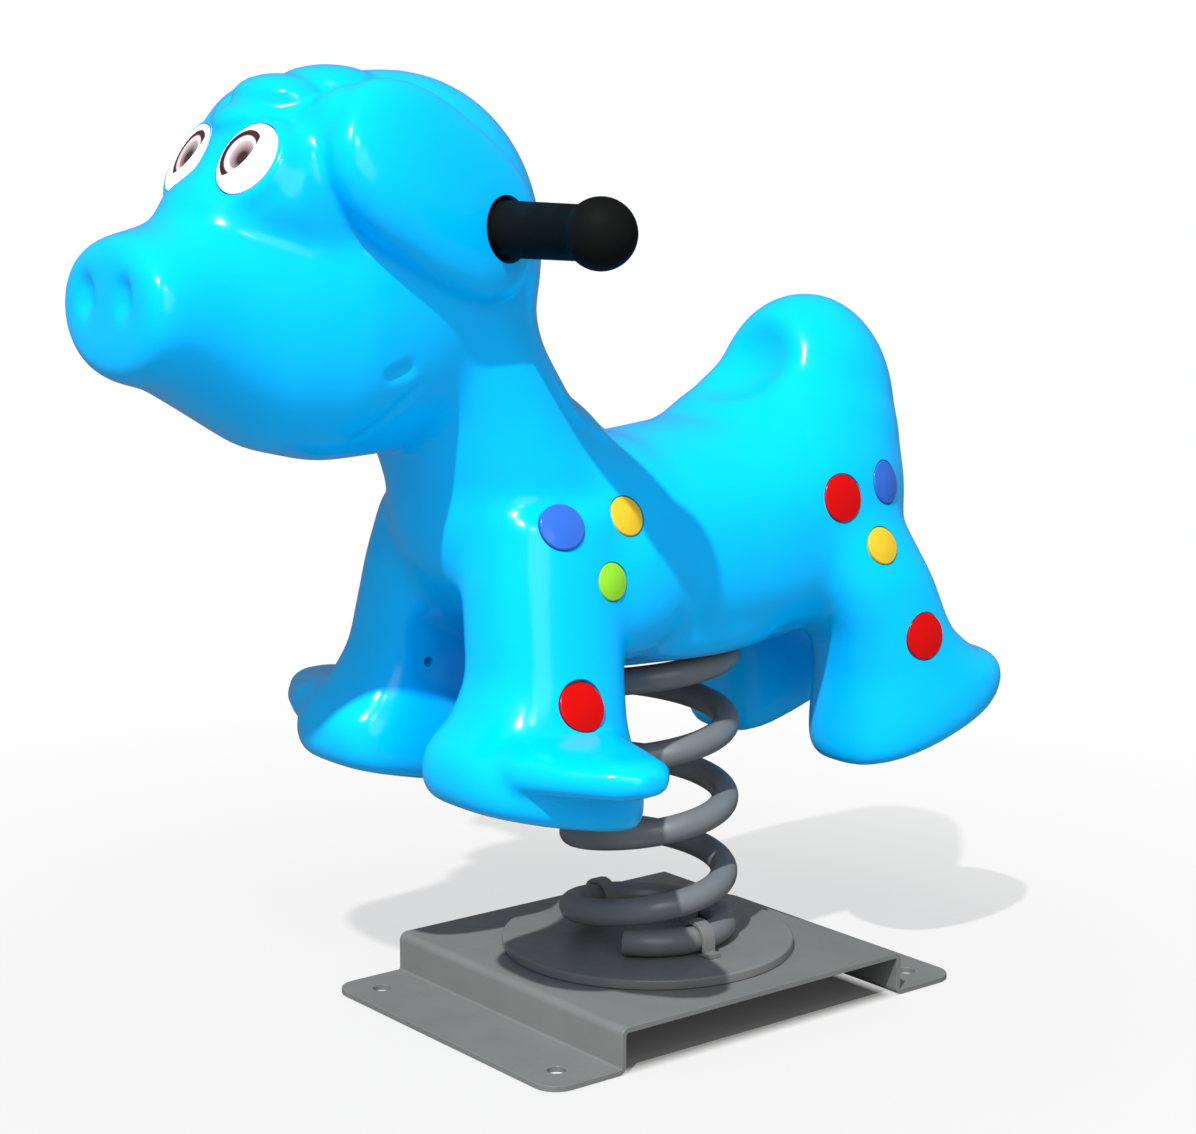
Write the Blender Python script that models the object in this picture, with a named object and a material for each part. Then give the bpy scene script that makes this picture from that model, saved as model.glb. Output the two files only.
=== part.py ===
"""Spring rider: a hollow moulded plastic piglet on a coil spring and a folded steel base.

Metres. +X is the animal's left side, -Y its nose and +Z up. The ground is z = 0.
"""

import math

import bmesh
import bpy
from mathutils import Matrix, Vector
from mathutils.bvhtree import BVHTree

# Where the spring stands along the toy's length
SPRING_Y = 0.0932

# Fit between touching pieces
GAP = 0.0003

# Folded base plate
BASE_WIDTH = 0.300
BASE_TOP_LENGTH = 0.300
BASE_HEIGHT = 0.037
SHEET = 0.0045
FLANGE_LENGTH = 0.068
FLANGE_CORNER = 0.020
FOLD_RADIUS = 0.0065
ANCHOR_HOLE = 0.015
ANCHOR_FROM_SIDE = 0.031
ANCHOR_FROM_END = 0.029

# Forms of the moulded body
# Barrel rings along the back: y, z, half width, half height
BARREL = (
    (-0.215, 0.425, 0.030, 0.040),
    (-0.200, 0.423, 0.062, 0.072),
    (-0.165, 0.415, 0.088, 0.096),
    (-0.110, 0.392, 0.104, 0.100),
    (-0.040, 0.376, 0.110, 0.095),
    (0.040, 0.3805, 0.112, 0.0985),
    (0.110, 0.396, 0.113, 0.106),
    (0.165, 0.404, 0.107, 0.102),
    (0.210, 0.410, 0.084, 0.082),
    (0.234, 0.412, 0.045, 0.045),
)
BARREL_POWER = 2.35
# Neck rings upward: z, y, half width, half depth
NECK = (
    (0.400, -0.140, 0.096, 0.090),
    (0.440, -0.150, 0.094, 0.088),
    (0.490, -0.178, 0.088, 0.080),
    (0.550, -0.212, 0.085, 0.075),
    (0.610, -0.240, 0.088, 0.085),
)
# Snout and jaw rings backward: y, z, half width, half height
SNOUT = (
    (-0.491, 0.586, 0.065, 0.042),
    (-0.482, 0.586, 0.073, 0.051),
    (-0.456, 0.586, 0.074, 0.057),
    (-0.425, 0.581, 0.076, 0.071),
    (-0.380, 0.573, 0.086, 0.091),
    (-0.330, 0.571, 0.095, 0.101),
    (-0.275, 0.580, 0.090, 0.108),
    (-0.235, 0.588, 0.084, 0.110),
)
# Front leg rings downward: z, x, y, half width, half depth, slope of the ring along y
FRONT_LEG = (
    (0.430, 0.064, -0.150, 0.043, 0.062, 0.0),
    (0.380, 0.070, -0.160, 0.049, 0.063, 0.0),
    (0.305, 0.086, -0.171, 0.048, 0.059, 0.0),
    (0.270, 0.091, -0.180, 0.054, 0.065, -0.10),
    (0.241, 0.096, -0.188, 0.066, 0.080, -0.20),
    (0.214, 0.096, -0.188, 0.069, 0.083, -0.23),
    (0.198, 0.096, -0.187, 0.063, 0.076, -0.23),
)
# Rear leg rings, the same way
REAR_LEG = (
    (0.410, 0.064, 0.132, 0.046, 0.064, 0.0),
    (0.345, 0.083, 0.162, 0.052, 0.060, 0.0),
    (0.300, 0.090, 0.182, 0.051, 0.056, 0.0),
    (0.270, 0.088, 0.202, 0.056, 0.068, 0.12),
    (0.247, 0.087, 0.218, 0.061, 0.084, 0.26),
    (0.224, 0.086, 0.221, 0.062, 0.087, 0.32),
    (0.208, 0.086, 0.219, 0.055, 0.078, 0.32),
)
LEG_POWER = 2.3
LEG_INNER_POWER = 4.0
# Footrest rings outward: x, y, z, half depth, half thickness
FOOTREST = (
    (0.100, -0.200, 0.250, 0.060, 0.026),
    (0.150, -0.198, 0.251, 0.055, 0.021),
    (0.185, -0.192, 0.250, 0.044, 0.016),
    (0.213, -0.187, 0.250, 0.029, 0.014),
    (0.229, -0.185, 0.250, 0.012, 0.008),
)
# Rounded masses: x, y, z, half sizes, power, lean about x and turn about z in degrees
RUMP = (0.0, 0.130, 0.408, 0.112, 0.106, 0.104, 2.2, 0.0, 0.0)
HUMP = (0.0, 0.168, 0.477, 0.077, 0.078, 0.100, 2.0, 0.0, 0.0)
HUMP_FOOT = (0.0, 0.153, 0.452, 0.093, 0.088, 0.080, 2.2, 0.0, 0.0)
HUMP_SLOPE = (0.0, 0.094, 0.478, 0.050, 0.078, 0.028, 2.0, 36.0, 0.0)
CHEST = (0.0, -0.150, 0.430, 0.094, 0.088, 0.092, 2.1, 0.0, 0.0)
BIB = (0.0, -0.152, 0.405, 0.085, 0.068, 0.062, 2.8, 0.0, 0.0)
SHOULDER = (0.068, -0.098, 0.368, 0.050, 0.075, 0.066, 2.2, 0.0, 0.0)
HEAD = (0.0, -0.260, 0.620, 0.097, 0.125, 0.134, 2.1, 0.0, 0.0)
FACE = (0.0, -0.356, 0.661, 0.084, 0.060, 0.046, 3.0, -30.0, 0.0)
BROW = (0.0, -0.385, 0.640, 0.060, 0.055, 0.046, 2.2, 0.0, 0.0)
TEMPLE = (0.058, -0.288, 0.688, 0.045, 0.082, 0.047, 2.1, -24.0, 10.0)
CROWN = (0.0, -0.336, 0.712, 0.050, 0.052, 0.026, 2.1, 0.0, 0.0)
EAR = (0.084, -0.272, 0.666, 0.031, 0.098, 0.062, 2.5, -34.0, 10.0)
EAR_TILT = -12.0
TUFTS = (
    (0.0, -0.374, 0.712, 0.036, 0.024, 0.017, 2.0, 0.0, 0.0),
    (0.0, -0.350, 0.732, 0.040, 0.029, 0.017, 2.0, 0.0, 0.0),
    (0.0, -0.308, 0.740, 0.042, 0.036, 0.016, 2.0, 0.0, 0.0),
)

# Shallow dish in the front of the backrest: y, z, half width, half depth, half height
BACKREST_DISH = (0.074, 0.538, 0.070, 0.052, 0.046)
# Recess under the chest between the front legs: a rounded mass cut away
ARCH = (0.0, -0.190, 0.299, 0.041, 0.088, 0.038, 3.0, -25.0, 0.0)

# Meshing of the body
BODY_VOXEL = 0.007
BODY_BLEND = 14
DETAIL_VOXEL = 0.0055
DETAIL_BLEND = 3
SHELL_FACES = 4200
WALL = 0.0075
CAVITY_VOXEL = 0.012
CAVITY_FACES = 1000
VENT_HOLE = 0.008
VENT_Y = -0.194
VENT_Z = 0.296

# Nostrils in the flat of the snout
NOSTRIL_X = 0.027
NOSTRIL_Z = 0.596
NOSTRIL_HALF = (0.0075, 0.006, 0.0105)

# Coloured spots: name, y, z, and the diameter of each colour
SPOTS = (
    ("front_blue", -0.174, 0.420),
    ("front_yellow", -0.110, 0.422),
    ("front_green", -0.135, 0.376),
    ("front_red", -0.180, 0.290),
    ("rear_red_upper", 0.110, 0.418),
    ("rear_blue", 0.164, 0.426),
    ("rear_yellow", 0.1455, 0.377),
    ("rear_red_lower", 0.180, 0.300),
)
SPOT_DIAMETER = {"blue": 0.0360, "yellow": 0.0315, "green": 0.0290, "red": 0.0390}
SPOT_SEAT = 0.0035
SPOT_RISE = 0.0030
SPOT_DOME = 0.0012
SPOT_SIDES = 18

# Eyes, as domed plates let into the face
EYE_X = 0.0420
EYE_Z = 0.6895
EYE_HALF_WIDTH = 0.0278
EYE_HALF_HEIGHT = 0.0275
EYE_FACING = (0.18, -0.85, 0.50)
EYE_SEAT = 0.0040
EYE_RISE = 0.0030
EYE_DOME = 0.0018
IRIS_DIAMETER = 0.0372
IRIS_SHIFT = 0.0056
IRIS_RAISE = 0.0022
IRIS_SEAT = 0.0020
IRIS_RISE = 0.0008

# Handlebar through the head
HANDLE_Y = -0.2265
HANDLE_Z = 0.6400
HANDLE_TUBE = 0.028
HANDLE_WALL = 0.0025
HANDLE_SEAT_X = 0.0920
HANDLE_END_X = 0.2090
COLLAR_RADIUS = 0.0235
COLLAR_THICKNESS = 0.0060
COLLAR_CLEARANCE = 0.0008
GRIP_ROOT_RADIUS = 0.0205
GRIP_TIP_RADIUS = 0.0195
BALL_X = 0.2150
BALL_RADIUS = 0.0255

# Spring of round bar with closed ends
ROD = 0.0225
COIL_DIAMETER = 0.127
COIL_TURNS = 4.86
CLOSED_TURN = 0.32
EASING_TURN = 0.60
COIL_START_TURN = -0.05
COIL_POINTS_PER_TURN = 24
VIEW_ANGLE = -38.7

# Round plates under and over the spring
LOWER_PLATE = 0.245
LOWER_PLATE_THICKNESS = 0.008
PLATE_EDGE = 0.0020
MOUNT_Z = 0.3080
UPPER_PLATE = 0.150
UPPER_PLATE_THICKNESS = 0.006
POCKET_CLEARANCE = 0.002
BELLY_BLOCK = 0.190
BELLY_THICKNESS = 0.024

# Saddle clips over the bottom coil and hooks under the top one
CLIPS = (("left", 0.0), ("rear", 90.0), ("right", 180.0))
HOOKS = (("rear", 142.0), ("right", 182.0), ("front", 222.0))
HOOK_REACH = 50.0
CLIP_WIDTH = 0.012
CLIP_THICKNESS = 0.0035
CLIP_CLEARANCE = 0.0012
CLIP_FOOT = 0.007

# Mounting bolts, washers and threaded inserts
BOLT = 0.010
BOLT_SPREAD = 0.021
BOLT_CLEARANCE = 0.0005
HEAD_ACROSS_FLATS = 0.016
HEAD_HEIGHT = 0.0064
WASHER = 0.020
WASHER_THICKNESS = 0.0020
INSERT = 0.018
INSERT_LENGTH = 0.018
BOLT_REACH = 0.015
HARDWARE_SIDES = 12

# Colours as red, green, blue in sRGB, roughness and metallic
FINISHES = {
    "blue_plastic": ((0.0, 0.80, 0.99), 0.18, 0.0),
    "red_spot": ((0.86, 0.08, 0.07), 0.25, 0.0),
    "blue_spot": ((0.23, 0.44, 0.83), 0.25, 0.0),
    "yellow_spot": ((0.99, 0.84, 0.24), 0.25, 0.0),
    "green_spot": ((0.59, 0.90, 0.24), 0.25, 0.0),
    "eye_white": ((0.97, 0.97, 0.97), 0.15, 0.0),
    "iris_brown": ((0.27, 0.17, 0.16), 0.15, 0.0),
    "grip_rubber": ((0.10, 0.11, 0.11), 0.55, 0.0),
    "tube_steel": ((0.62, 0.63, 0.64), 0.35, 1.0),
    "zinc_steel": ((0.66, 0.67, 0.66), 0.35, 1.0),
    "insert_brass": ((0.72, 0.60, 0.32), 0.35, 1.0),
    "grey_paint": ((0.46, 0.48, 0.48), 0.45, 0.0),
    "spring_paint": ((0.42, 0.45, 0.45), 0.40, 0.0),
}


def clear_scene():
    for item in list(bpy.data.objects):
        bpy.data.objects.remove(item, do_unlink=True)


def place(x, y, z):
    """A point given from the spring's axis, in the toy's own frame."""
    return Vector((x, y + SPRING_Y, z))


def add_object(name, bm):
    mesh = bpy.data.meshes.new(name)
    bm.to_mesh(mesh)
    bm.free()
    item = bpy.data.objects.new(name, mesh)
    bpy.context.collection.objects.link(item)
    return item


def superpoint(angle, half_a, half_b, power):
    """A point on a rounded rectangle between an ellipse and a box."""
    c, s = math.cos(angle), math.sin(angle)
    reach = (abs(c) ** power + abs(s) ** power) ** (-1.0 / power)
    return half_a * reach * c, half_b * reach * s


def loft(bm, rings):
    """Skin a run of closed rings of points and close both ends."""
    made = [[bm.verts.new(point) for point in ring] for ring in rings]
    count = len(made[0])
    for lower, upper in zip(made, made[1:]):
        for i in range(count):
            j = (i + 1) % count
            bm.faces.new((lower[i], lower[j], upper[j], upper[i]))
    bm.faces.new(made[0])
    bm.faces.new(made[-1])
    bmesh.ops.recalc_face_normals(bm, faces=bm.faces)


def ring_angles(count=32):
    return [2.0 * math.pi * i / count for i in range(count)]


def along_y(rings, power):
    """Rings that face along the toy's length."""
    skins = []
    for y, z, half_x, half_z in rings:
        ring = []
        for angle in ring_angles():
            a, b = superpoint(angle, half_x, half_z, power)
            ring.append(place(a, y, z + b))
        skins.append(ring)
    return skins


def along_z(rings, power, inner_power, side=1.0):
    """Rings that face up, each with its own slope along y and a flatter inner side."""
    skins = []
    for z, x, y, half_x, half_y, slope in rings:
        ring = []
        for angle in ring_angles():
            squareness = inner_power if math.cos(angle) < 0.0 else power
            a, b = superpoint(angle, half_x, half_y, squareness)
            ring.append(place(side * (x + a), y + b, z + slope * b))
        skins.append(ring)
    return skins


def along_x(rings, power, side):
    """Rings that face sideways."""
    skins = []
    for x, y, z, half_y, half_z in rings:
        ring = []
        for angle in ring_angles():
            a, b = superpoint(angle, half_y, half_z, power)
            ring.append(place(side * x, y + a, z + b))
        skins.append(ring)
    return skins


def mass(bm, form, side=1.0, tilt=0.0):
    """An ellipsoid, squared a little by its power, that leans about x, tilts about y and turns about z."""
    x, y, z, half_x, half_y, half_z, power, lean, yaw = form
    made = bmesh.ops.create_icosphere(bm, subdivisions=4, radius=1.0)["verts"]
    turn = Matrix.Rotation(side * math.radians(yaw), 3, "Z")
    turn = turn @ Matrix.Rotation(side * math.radians(tilt), 3, "Y")
    turn = turn @ Matrix.Rotation(math.radians(lean), 3, "X")
    centre = place(side * x, y, z)
    for vert in made:
        p = vert.co
        reach = (abs(p.x) ** power + abs(p.y) ** power + abs(p.z) ** power) ** (-1.0 / power)
        p = Vector((p.x * half_x, p.y * half_y, p.z * half_z)) * reach
        vert.co = centre + turn @ p


def add_modifier(item, kind, **settings):
    modifier = item.modifiers.new(kind.lower(), kind)
    for key, value in settings.items():
        setattr(modifier, key, value)
    return modifier


def settle(item):
    """Turn an object's modifiers into plain mesh."""
    seen = item.evaluated_get(bpy.context.evaluated_depsgraph_get())
    mesh = bpy.data.meshes.new_from_object(seen)
    item.modifiers.clear()
    old = item.data
    item.data = mesh
    bpy.data.meshes.remove(old)
    return item


def boolean(item, cutter, operation="DIFFERENCE"):
    """Cut or join with another object, which is then removed."""
    cutter.hide_render = True
    cutter.display_type = "WIRE"
    add_modifier(item, "BOOLEAN", operation=operation, solver="EXACT", object=cutter)
    settle(item)
    bpy.data.objects.remove(cutter, do_unlink=True)
    return item


def frame_on(point, normal, up=Vector((0.0, 0.0, 1.0))):
    """A placing matrix whose z axis is the normal and whose y axis leans upward."""
    z = normal.normalized()
    x = up.cross(z).normalized()
    y = z.cross(x)
    turn = Matrix((x, y, z)).transposed().to_4x4()
    return Matrix.Translation(point) @ turn


def turned(bm, profile, sides, matrix=None, stretch=(1.0, 1.0)):
    """Turn a profile of (radius, height) points about z. Its ends lie on the axis or close a bore."""
    matrix = matrix or Matrix.Identity(4)
    rings = []
    for radius, height in profile:
        if radius == 0.0:
            rings.append([bm.verts.new(matrix @ Vector((0.0, 0.0, height)))])
            continue
        ring = []
        for angle in ring_angles(sides):
            point = Vector((
                radius * stretch[0] * math.cos(angle),
                radius * stretch[1] * math.sin(angle),
                height,
            ))
            ring.append(bm.verts.new(matrix @ point))
        rings.append(ring)
    closed = profile[0][0] != 0.0
    pairs = list(zip(rings, rings[1:]))
    if closed:
        pairs.append((rings[-1], rings[0]))
    for lower, upper in pairs:
        for i in range(sides):
            j = (i + 1) % sides
            if len(lower) == 1:
                bm.faces.new((lower[0], upper[j], upper[i]))
            elif len(upper) == 1:
                bm.faces.new((lower[i], lower[j], upper[0]))
            else:
                bm.faces.new((lower[i], lower[j], upper[j], upper[i]))
    bmesh.ops.recalc_face_normals(bm, faces=bm.faces)


def solid_disc(bm, radius, low, high, sides, matrix=None, stretch=(1.0, 1.0)):
    turned(bm, ((0.0, low), (radius, low), (radius, high), (0.0, high)), sides, matrix, stretch)


def prism(bm, outline, low, high, matrix=None):
    """Raise a flat outline of (x, y) points between two heights."""
    matrix = matrix or Matrix.Identity(4)
    loft(bm, [[matrix @ Vector((x, y, z)) for x, y in outline] for z in (low, high)])


def rounded_rectangle(half_x, half_y, radius, steps=5):
    outline = []
    for corner, (sx, sy) in enumerate(((1, 1), (-1, 1), (-1, -1), (1, -1))):
        for step in range(steps + 1):
            angle = math.radians(90.0 * (corner + step / steps))
            outline.append((
                sx * (half_x - radius) + radius * math.cos(angle),
                sy * (half_y - radius) + radius * math.sin(angle),
            ))
    return outline


def box_object(name, low, high):
    bm = bmesh.new()
    prism(bm, ((low[0], low[1]), (high[0], low[1]), (high[0], high[1]), (low[0], high[1])), low[2], high[2])
    return add_object(name, bm)


def body_masses():
    """The large forms, blended into one another."""
    bm = bmesh.new()
    loft(bm, along_y(BARREL, BARREL_POWER))
    loft(bm, along_z([(z, 0.0, y, a, b, 0.0) for z, y, a, b in NECK], 2.1, 2.1))
    loft(bm, along_y(SNOUT, 2.2))
    for side in (-1.0, 1.0):
        loft(bm, along_z(FRONT_LEG, LEG_POWER, LEG_INNER_POWER, side))
        loft(bm, along_z(REAR_LEG, LEG_POWER, LEG_INNER_POWER, side))
    for form in (RUMP, HUMP, HUMP_FOOT, HUMP_SLOPE, CHEST, BIB, HEAD, FACE, BROW, CROWN):
        mass(bm, form)
    for side in (-1.0, 1.0):
        mass(bm, SHOULDER, side)
        mass(bm, TEMPLE, side)
    item = add_object("body_masses", bm)
    add_modifier(item, "REMESH", mode="VOXEL", voxel_size=BODY_VOXEL)
    settle(item)
    y, z, half_x, half_y, half_z = BACKREST_DISH
    dish = bmesh.new()
    mass(dish, (0.0, y, z, half_x, half_y, half_z, 2.0, 0.0, 0.0))
    boolean(item, add_object("backrest_dish", dish))
    add_modifier(item, "REMESH", mode="VOXEL", voxel_size=BODY_VOXEL)
    add_modifier(item, "SMOOTH", factor=0.5, iterations=BODY_BLEND)
    return settle(item)


def body_cavity(masses):
    """The hollow inside the moulding, flat over the thick block that carries the bolts."""
    item = bpy.data.objects.new("cavity", masses.data.copy())
    bpy.context.collection.objects.link(item)
    add_modifier(item, "DISPLACE", strength=-WALL, mid_level=0.0)
    add_modifier(item, "REMESH", mode="VOXEL", voxel_size=CAVITY_VOXEL)
    add_modifier(item, "SMOOTH", factor=0.5, iterations=4)
    settle(item)
    ratio = CAVITY_FACES / len(item.data.polygons) / 2.0
    add_modifier(item, "DECIMATE", ratio=min(1.0, ratio))
    settle(item)
    half = BELLY_BLOCK / 2.0
    block = box_object(
        "belly_block",
        place(-half, -half, BASE_HEIGHT),
        place(half, half, MOUNT_Z + BELLY_THICKNESS),
    )
    boolean(item, block)
    x, y, z, half_x, half_y, half_z, power, lean, yaw = ARCH
    arch = bmesh.new()
    mass(arch, (x, y, z, half_x + WALL, half_y + WALL, half_z + WALL, power, lean, yaw))
    return boolean(item, add_object("arch_wall", arch))


def body_details(masses):
    """Ears, tuft and footrests, which keep a crisper edge."""
    arch = bmesh.new()
    mass(arch, ARCH)
    boolean(masses, add_object("arch", arch))
    bm = bmesh.new()
    bm.from_mesh(masses.data)
    for side in (-1.0, 1.0):
        mass(bm, EAR, side, EAR_TILT)
        loft(bm, along_x(FOOTREST, 2.6, side))
    for form in TUFTS:
        mass(bm, form)
    item = add_object("animal_shell", bm)
    bpy.data.objects.remove(masses, do_unlink=True)
    add_modifier(item, "REMESH", mode="VOXEL", voxel_size=DETAIL_VOXEL)
    add_modifier(item, "SMOOTH", factor=0.5, iterations=DETAIL_BLEND)
    settle(item)
    ratio = SHELL_FACES / len(item.data.polygons) / 2.0
    add_modifier(item, "DECIMATE", ratio=min(1.0, ratio))
    return settle(item)


def surface_seat(tree, start, direction, spread):
    """Where a ray meets the body, with the outward direction averaged over a patch."""
    hit = tree.ray_cast(start, direction)[0]
    side = direction.orthogonal().normalized()
    other = direction.cross(side)
    normal = Vector()
    for angle in ring_angles(8):
        offset = side * (spread * math.cos(angle)) + other * (spread * math.sin(angle))
        found, facing, _, _ = tree.ray_cast(start + offset, direction)
        if found is not None:
            normal += facing
    return hit, normal.normalized()


def domed_plate(name, matrix, low, high, dome, radius, sides, stretch=(1.0, 1.0)):
    """A round or oval plate with a softly domed face and a rounded rim."""
    bm = bmesh.new()
    profile = (
        (0.0, low),
        (radius, low),
        (radius, high - dome),
        (radius * 0.88, high - dome * 0.30),
        (0.0, high),
    )
    turned(bm, profile, sides, matrix, stretch)
    return add_object(name, bm)


def spots_and_eyes(shell):
    """Domed spots and eye plates, each in its own shallow flat seat in the body."""
    tree = BVHTree.FromObject(shell, bpy.context.evaluated_depsgraph_get())
    cutters = bmesh.new()
    made = []
    for side, side_name in ((1.0, "left"), (-1.0, "right")):
        for name, y, z in SPOTS:
            colour = name.split("_")[1]
            radius = SPOT_DIAMETER[colour] / 2.0
            start = place(side * 0.4, y, z)
            point, normal = surface_seat(tree, start, Vector((-side, 0.0, 0.0)), radius * 0.8)
            matrix = frame_on(point, normal)
            solid_disc(cutters, radius + GAP, -SPOT_SEAT, SPOT_SEAT * 4.0, SPOT_SIDES, matrix)
            spot = domed_plate(
                "spot_" + name + "_" + side_name,
                matrix,
                GAP - SPOT_SEAT,
                SPOT_RISE,
                SPOT_DOME,
                radius,
                SPOT_SIDES,
            )
            made.append((spot, colour + "_spot"))
        start = place(side * EYE_X, -0.8, EYE_Z)
        point = tree.ray_cast(start, Vector((0.0, 1.0, 0.0)))[0]
        facing = Vector((side * EYE_FACING[0], EYE_FACING[1], EYE_FACING[2]))
        matrix = frame_on(point, facing)
        oval = (1.0, EYE_HALF_HEIGHT / EYE_HALF_WIDTH)
        solid_disc(cutters, EYE_HALF_WIDTH + GAP, -EYE_SEAT, EYE_SEAT * 4.0, 28, matrix, oval)
        eye = domed_plate(
            "eye_white_" + side_name,
            matrix,
            GAP - EYE_SEAT,
            EYE_RISE,
            EYE_DOME,
            EYE_HALF_WIDTH,
            28,
            oval,
        )
        centre = matrix @ Matrix.Translation((-side * IRIS_SHIFT, IRIS_RAISE, EYE_RISE - EYE_DOME * 0.2))
        radius = IRIS_DIAMETER / 2.0
        seat = bmesh.new()
        solid_disc(seat, radius + GAP, -IRIS_SEAT, EYE_RISE, 24, centre)
        boolean(eye, add_object("iris_seat", seat))
        iris = domed_plate(
            "iris_" + side_name,
            centre,
            GAP - IRIS_SEAT,
            IRIS_RISE,
            IRIS_RISE * 0.8,
            radius,
            24,
        )
        made.append((eye, "eye_white"))
        made.append((iris, "iris_brown"))
    return cutters, made


def handle_matrix(side):
    """Sideways along the handlebar, outward from the middle of the head."""
    turn = Matrix.Rotation(side * math.radians(90.0), 4, "Y")
    return Matrix.Translation(place(0.0, HANDLE_Y, HANDLE_Z)) @ turn


def shell_cutters(bm):
    """Nostrils, handlebar hole and seats, belly pocket, insert holes and the vent."""
    for side in (-1.0, 1.0):
        centre = place(side * NOSTRIL_X, SNOUT[0][0], NOSTRIL_Z)
        made = bmesh.ops.create_uvsphere(bm, u_segments=12, v_segments=8, radius=1.0)["verts"]
        for vert in made:
            vert.co = centre + Vector(a * b for a, b in zip(vert.co, NOSTRIL_HALF))
        radius = COLLAR_RADIUS + COLLAR_CLEARANCE
        solid_disc(bm, radius, HANDLE_SEAT_X, HANDLE_END_X, 32, handle_matrix(side))
    return bm


def finish_shell(shell, cavity, cutters):
    boolean(shell, cavity)
    boolean(shell, add_object("seats", shell_cutters(cutters)))
    bm = bmesh.new()
    solid_disc(bm, HANDLE_TUBE / 2.0 + GAP, -HANDLE_END_X, HANDLE_END_X, 24, handle_matrix(1.0))
    pocket = Matrix.Translation(place(0.0, 0.0, 0.0))
    solid_disc(bm, UPPER_PLATE / 2.0 + POCKET_CLEARANCE, BASE_HEIGHT + ROD, MOUNT_Z, 48, pocket)
    inside_leg = FRONT_LEG[2][1]
    vent = Matrix.Translation(place(-inside_leg, VENT_Y, VENT_Z)) @ Matrix.Rotation(math.radians(90.0), 4, "Y")
    solid_disc(bm, VENT_HOLE / 2.0, 0.0, inside_leg, 12, vent)
    boolean(shell, add_object("holes", bm))
    bm = bmesh.new()
    for matrix in bolt_places():
        solid_disc(bm, INSERT / 2.0 + GAP, MOUNT_Z - GAP, MOUNT_Z + INSERT_LENGTH + GAP * 2.0, HARDWARE_SIDES, matrix)
    boolean(shell, add_object("insert_holes", bm))
    return shell


def bolt_places():
    return [
        Matrix.Translation(place(sx * BOLT_SPREAD, sy * BOLT_SPREAD, 0.0))
        for sx in (-1.0, 1.0)
        for sy in (-1.0, 1.0)
    ]


def base_plate():
    """One folded sheet: a raised middle and a flange at each end."""
    half = BASE_TOP_LENGTH / 2.0
    end = half + FLANGE_LENGTH
    inner = FOLD_RADIUS - SHEET
    steps = 4
    outer_side = [(end, SHEET)]
    foot = (half + inner, SHEET + inner)
    for step in range(steps + 1):
        angle = math.radians(270.0 - 90.0 * step / steps)
        outer_side.append((foot[0] + inner * math.cos(angle), foot[1] + inner * math.sin(angle)))
    shoulder = (half - FOLD_RADIUS, BASE_HEIGHT - FOLD_RADIUS)
    for step in range(steps + 1):
        angle = math.radians(90.0 * step / steps)
        outer_side.append((
            shoulder[0] + FOLD_RADIUS * math.cos(angle),
            shoulder[1] + FOLD_RADIUS * math.sin(angle),
        ))
    under_side = [(end, 0.0)]
    for step in range(steps + 1):
        angle = math.radians(270.0 - 90.0 * step / steps)
        under_side.append((
            foot[0] + FOLD_RADIUS * math.cos(angle),
            foot[1] + FOLD_RADIUS * math.sin(angle),
        ))
    for step in range(steps + 1):
        angle = math.radians(90.0 * step / steps)
        under_side.append((
            shoulder[0] + inner * math.cos(angle),
            shoulder[1] + inner * math.sin(angle),
        ))
    outline = outer_side + [(-y, z) for y, z in reversed(outer_side)]
    outline += [(-y, z) for y, z in under_side] + list(reversed(under_side))
    bm = bmesh.new()
    half_width = BASE_WIDTH / 2.0
    loft(bm, [[place(x, y, z) for y, z in outline] for x in (-half_width, half_width)])
    item = add_object("base_plate", bm)
    plan = bmesh.new()
    corners = rounded_rectangle(half_width, end, FLANGE_CORNER, 6)
    prism(plan, corners, -SHEET, BASE_HEIGHT + SHEET, Matrix.Translation(place(0.0, 0.0, 0.0)))
    boolean(item, add_object("plan", plan), "INTERSECT")
    holes = bmesh.new()
    for sx in (-1.0, 1.0):
        for sy in (-1.0, 1.0):
            centre = place(sx * (half_width - ANCHOR_FROM_SIDE), sy * (end - ANCHOR_FROM_END), 0.0)
            solid_disc(holes, ANCHOR_HOLE / 2.0, -SHEET, SHEET * 2.0, 24, Matrix.Translation(centre))
    return boolean(item, add_object("anchor_holes", holes))


LOWER_PLATE_TOP = BASE_HEIGHT + GAP + LOWER_PLATE_THICKNESS
UPPER_PLATE_UNDERSIDE = MOUNT_Z - GAP - UPPER_PLATE_THICKNESS
COIL_LOW = LOWER_PLATE_TOP + GAP + ROD / 2.0
COIL_HIGH = UPPER_PLATE_UNDERSIDE - GAP - ROD / 2.0


def lower_spring_plate():
    bm = bmesh.new()
    radius = LOWER_PLATE / 2.0
    low = BASE_HEIGHT + GAP
    profile = (
        (0.0, low),
        (radius, low),
        (radius, LOWER_PLATE_TOP - PLATE_EDGE),
        (radius - PLATE_EDGE * 0.3, LOWER_PLATE_TOP - PLATE_EDGE * 0.3),
        (radius - PLATE_EDGE, LOWER_PLATE_TOP),
        (0.0, LOWER_PLATE_TOP),
    )
    turned(bm, profile, 48, Matrix.Translation(place(0.0, 0.0, 0.0)))
    return add_object("lower_spring_plate", bm)


def upper_spring_plate():
    bm = bmesh.new()
    middle = Matrix.Translation(place(0.0, 0.0, 0.0))
    solid_disc(bm, UPPER_PLATE / 2.0, UPPER_PLATE_UNDERSIDE, MOUNT_Z - GAP, 48, middle)
    item = add_object("upper_spring_plate", bm)
    holes = bmesh.new()
    for matrix in bolt_places():
        solid_disc(holes, BOLT / 2.0 + BOLT_CLEARANCE, UPPER_PLATE_UNDERSIDE - SHEET, MOUNT_Z + SHEET, HARDWARE_SIDES, matrix)
    return boolean(item, add_object("bolt_holes", holes))


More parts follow.
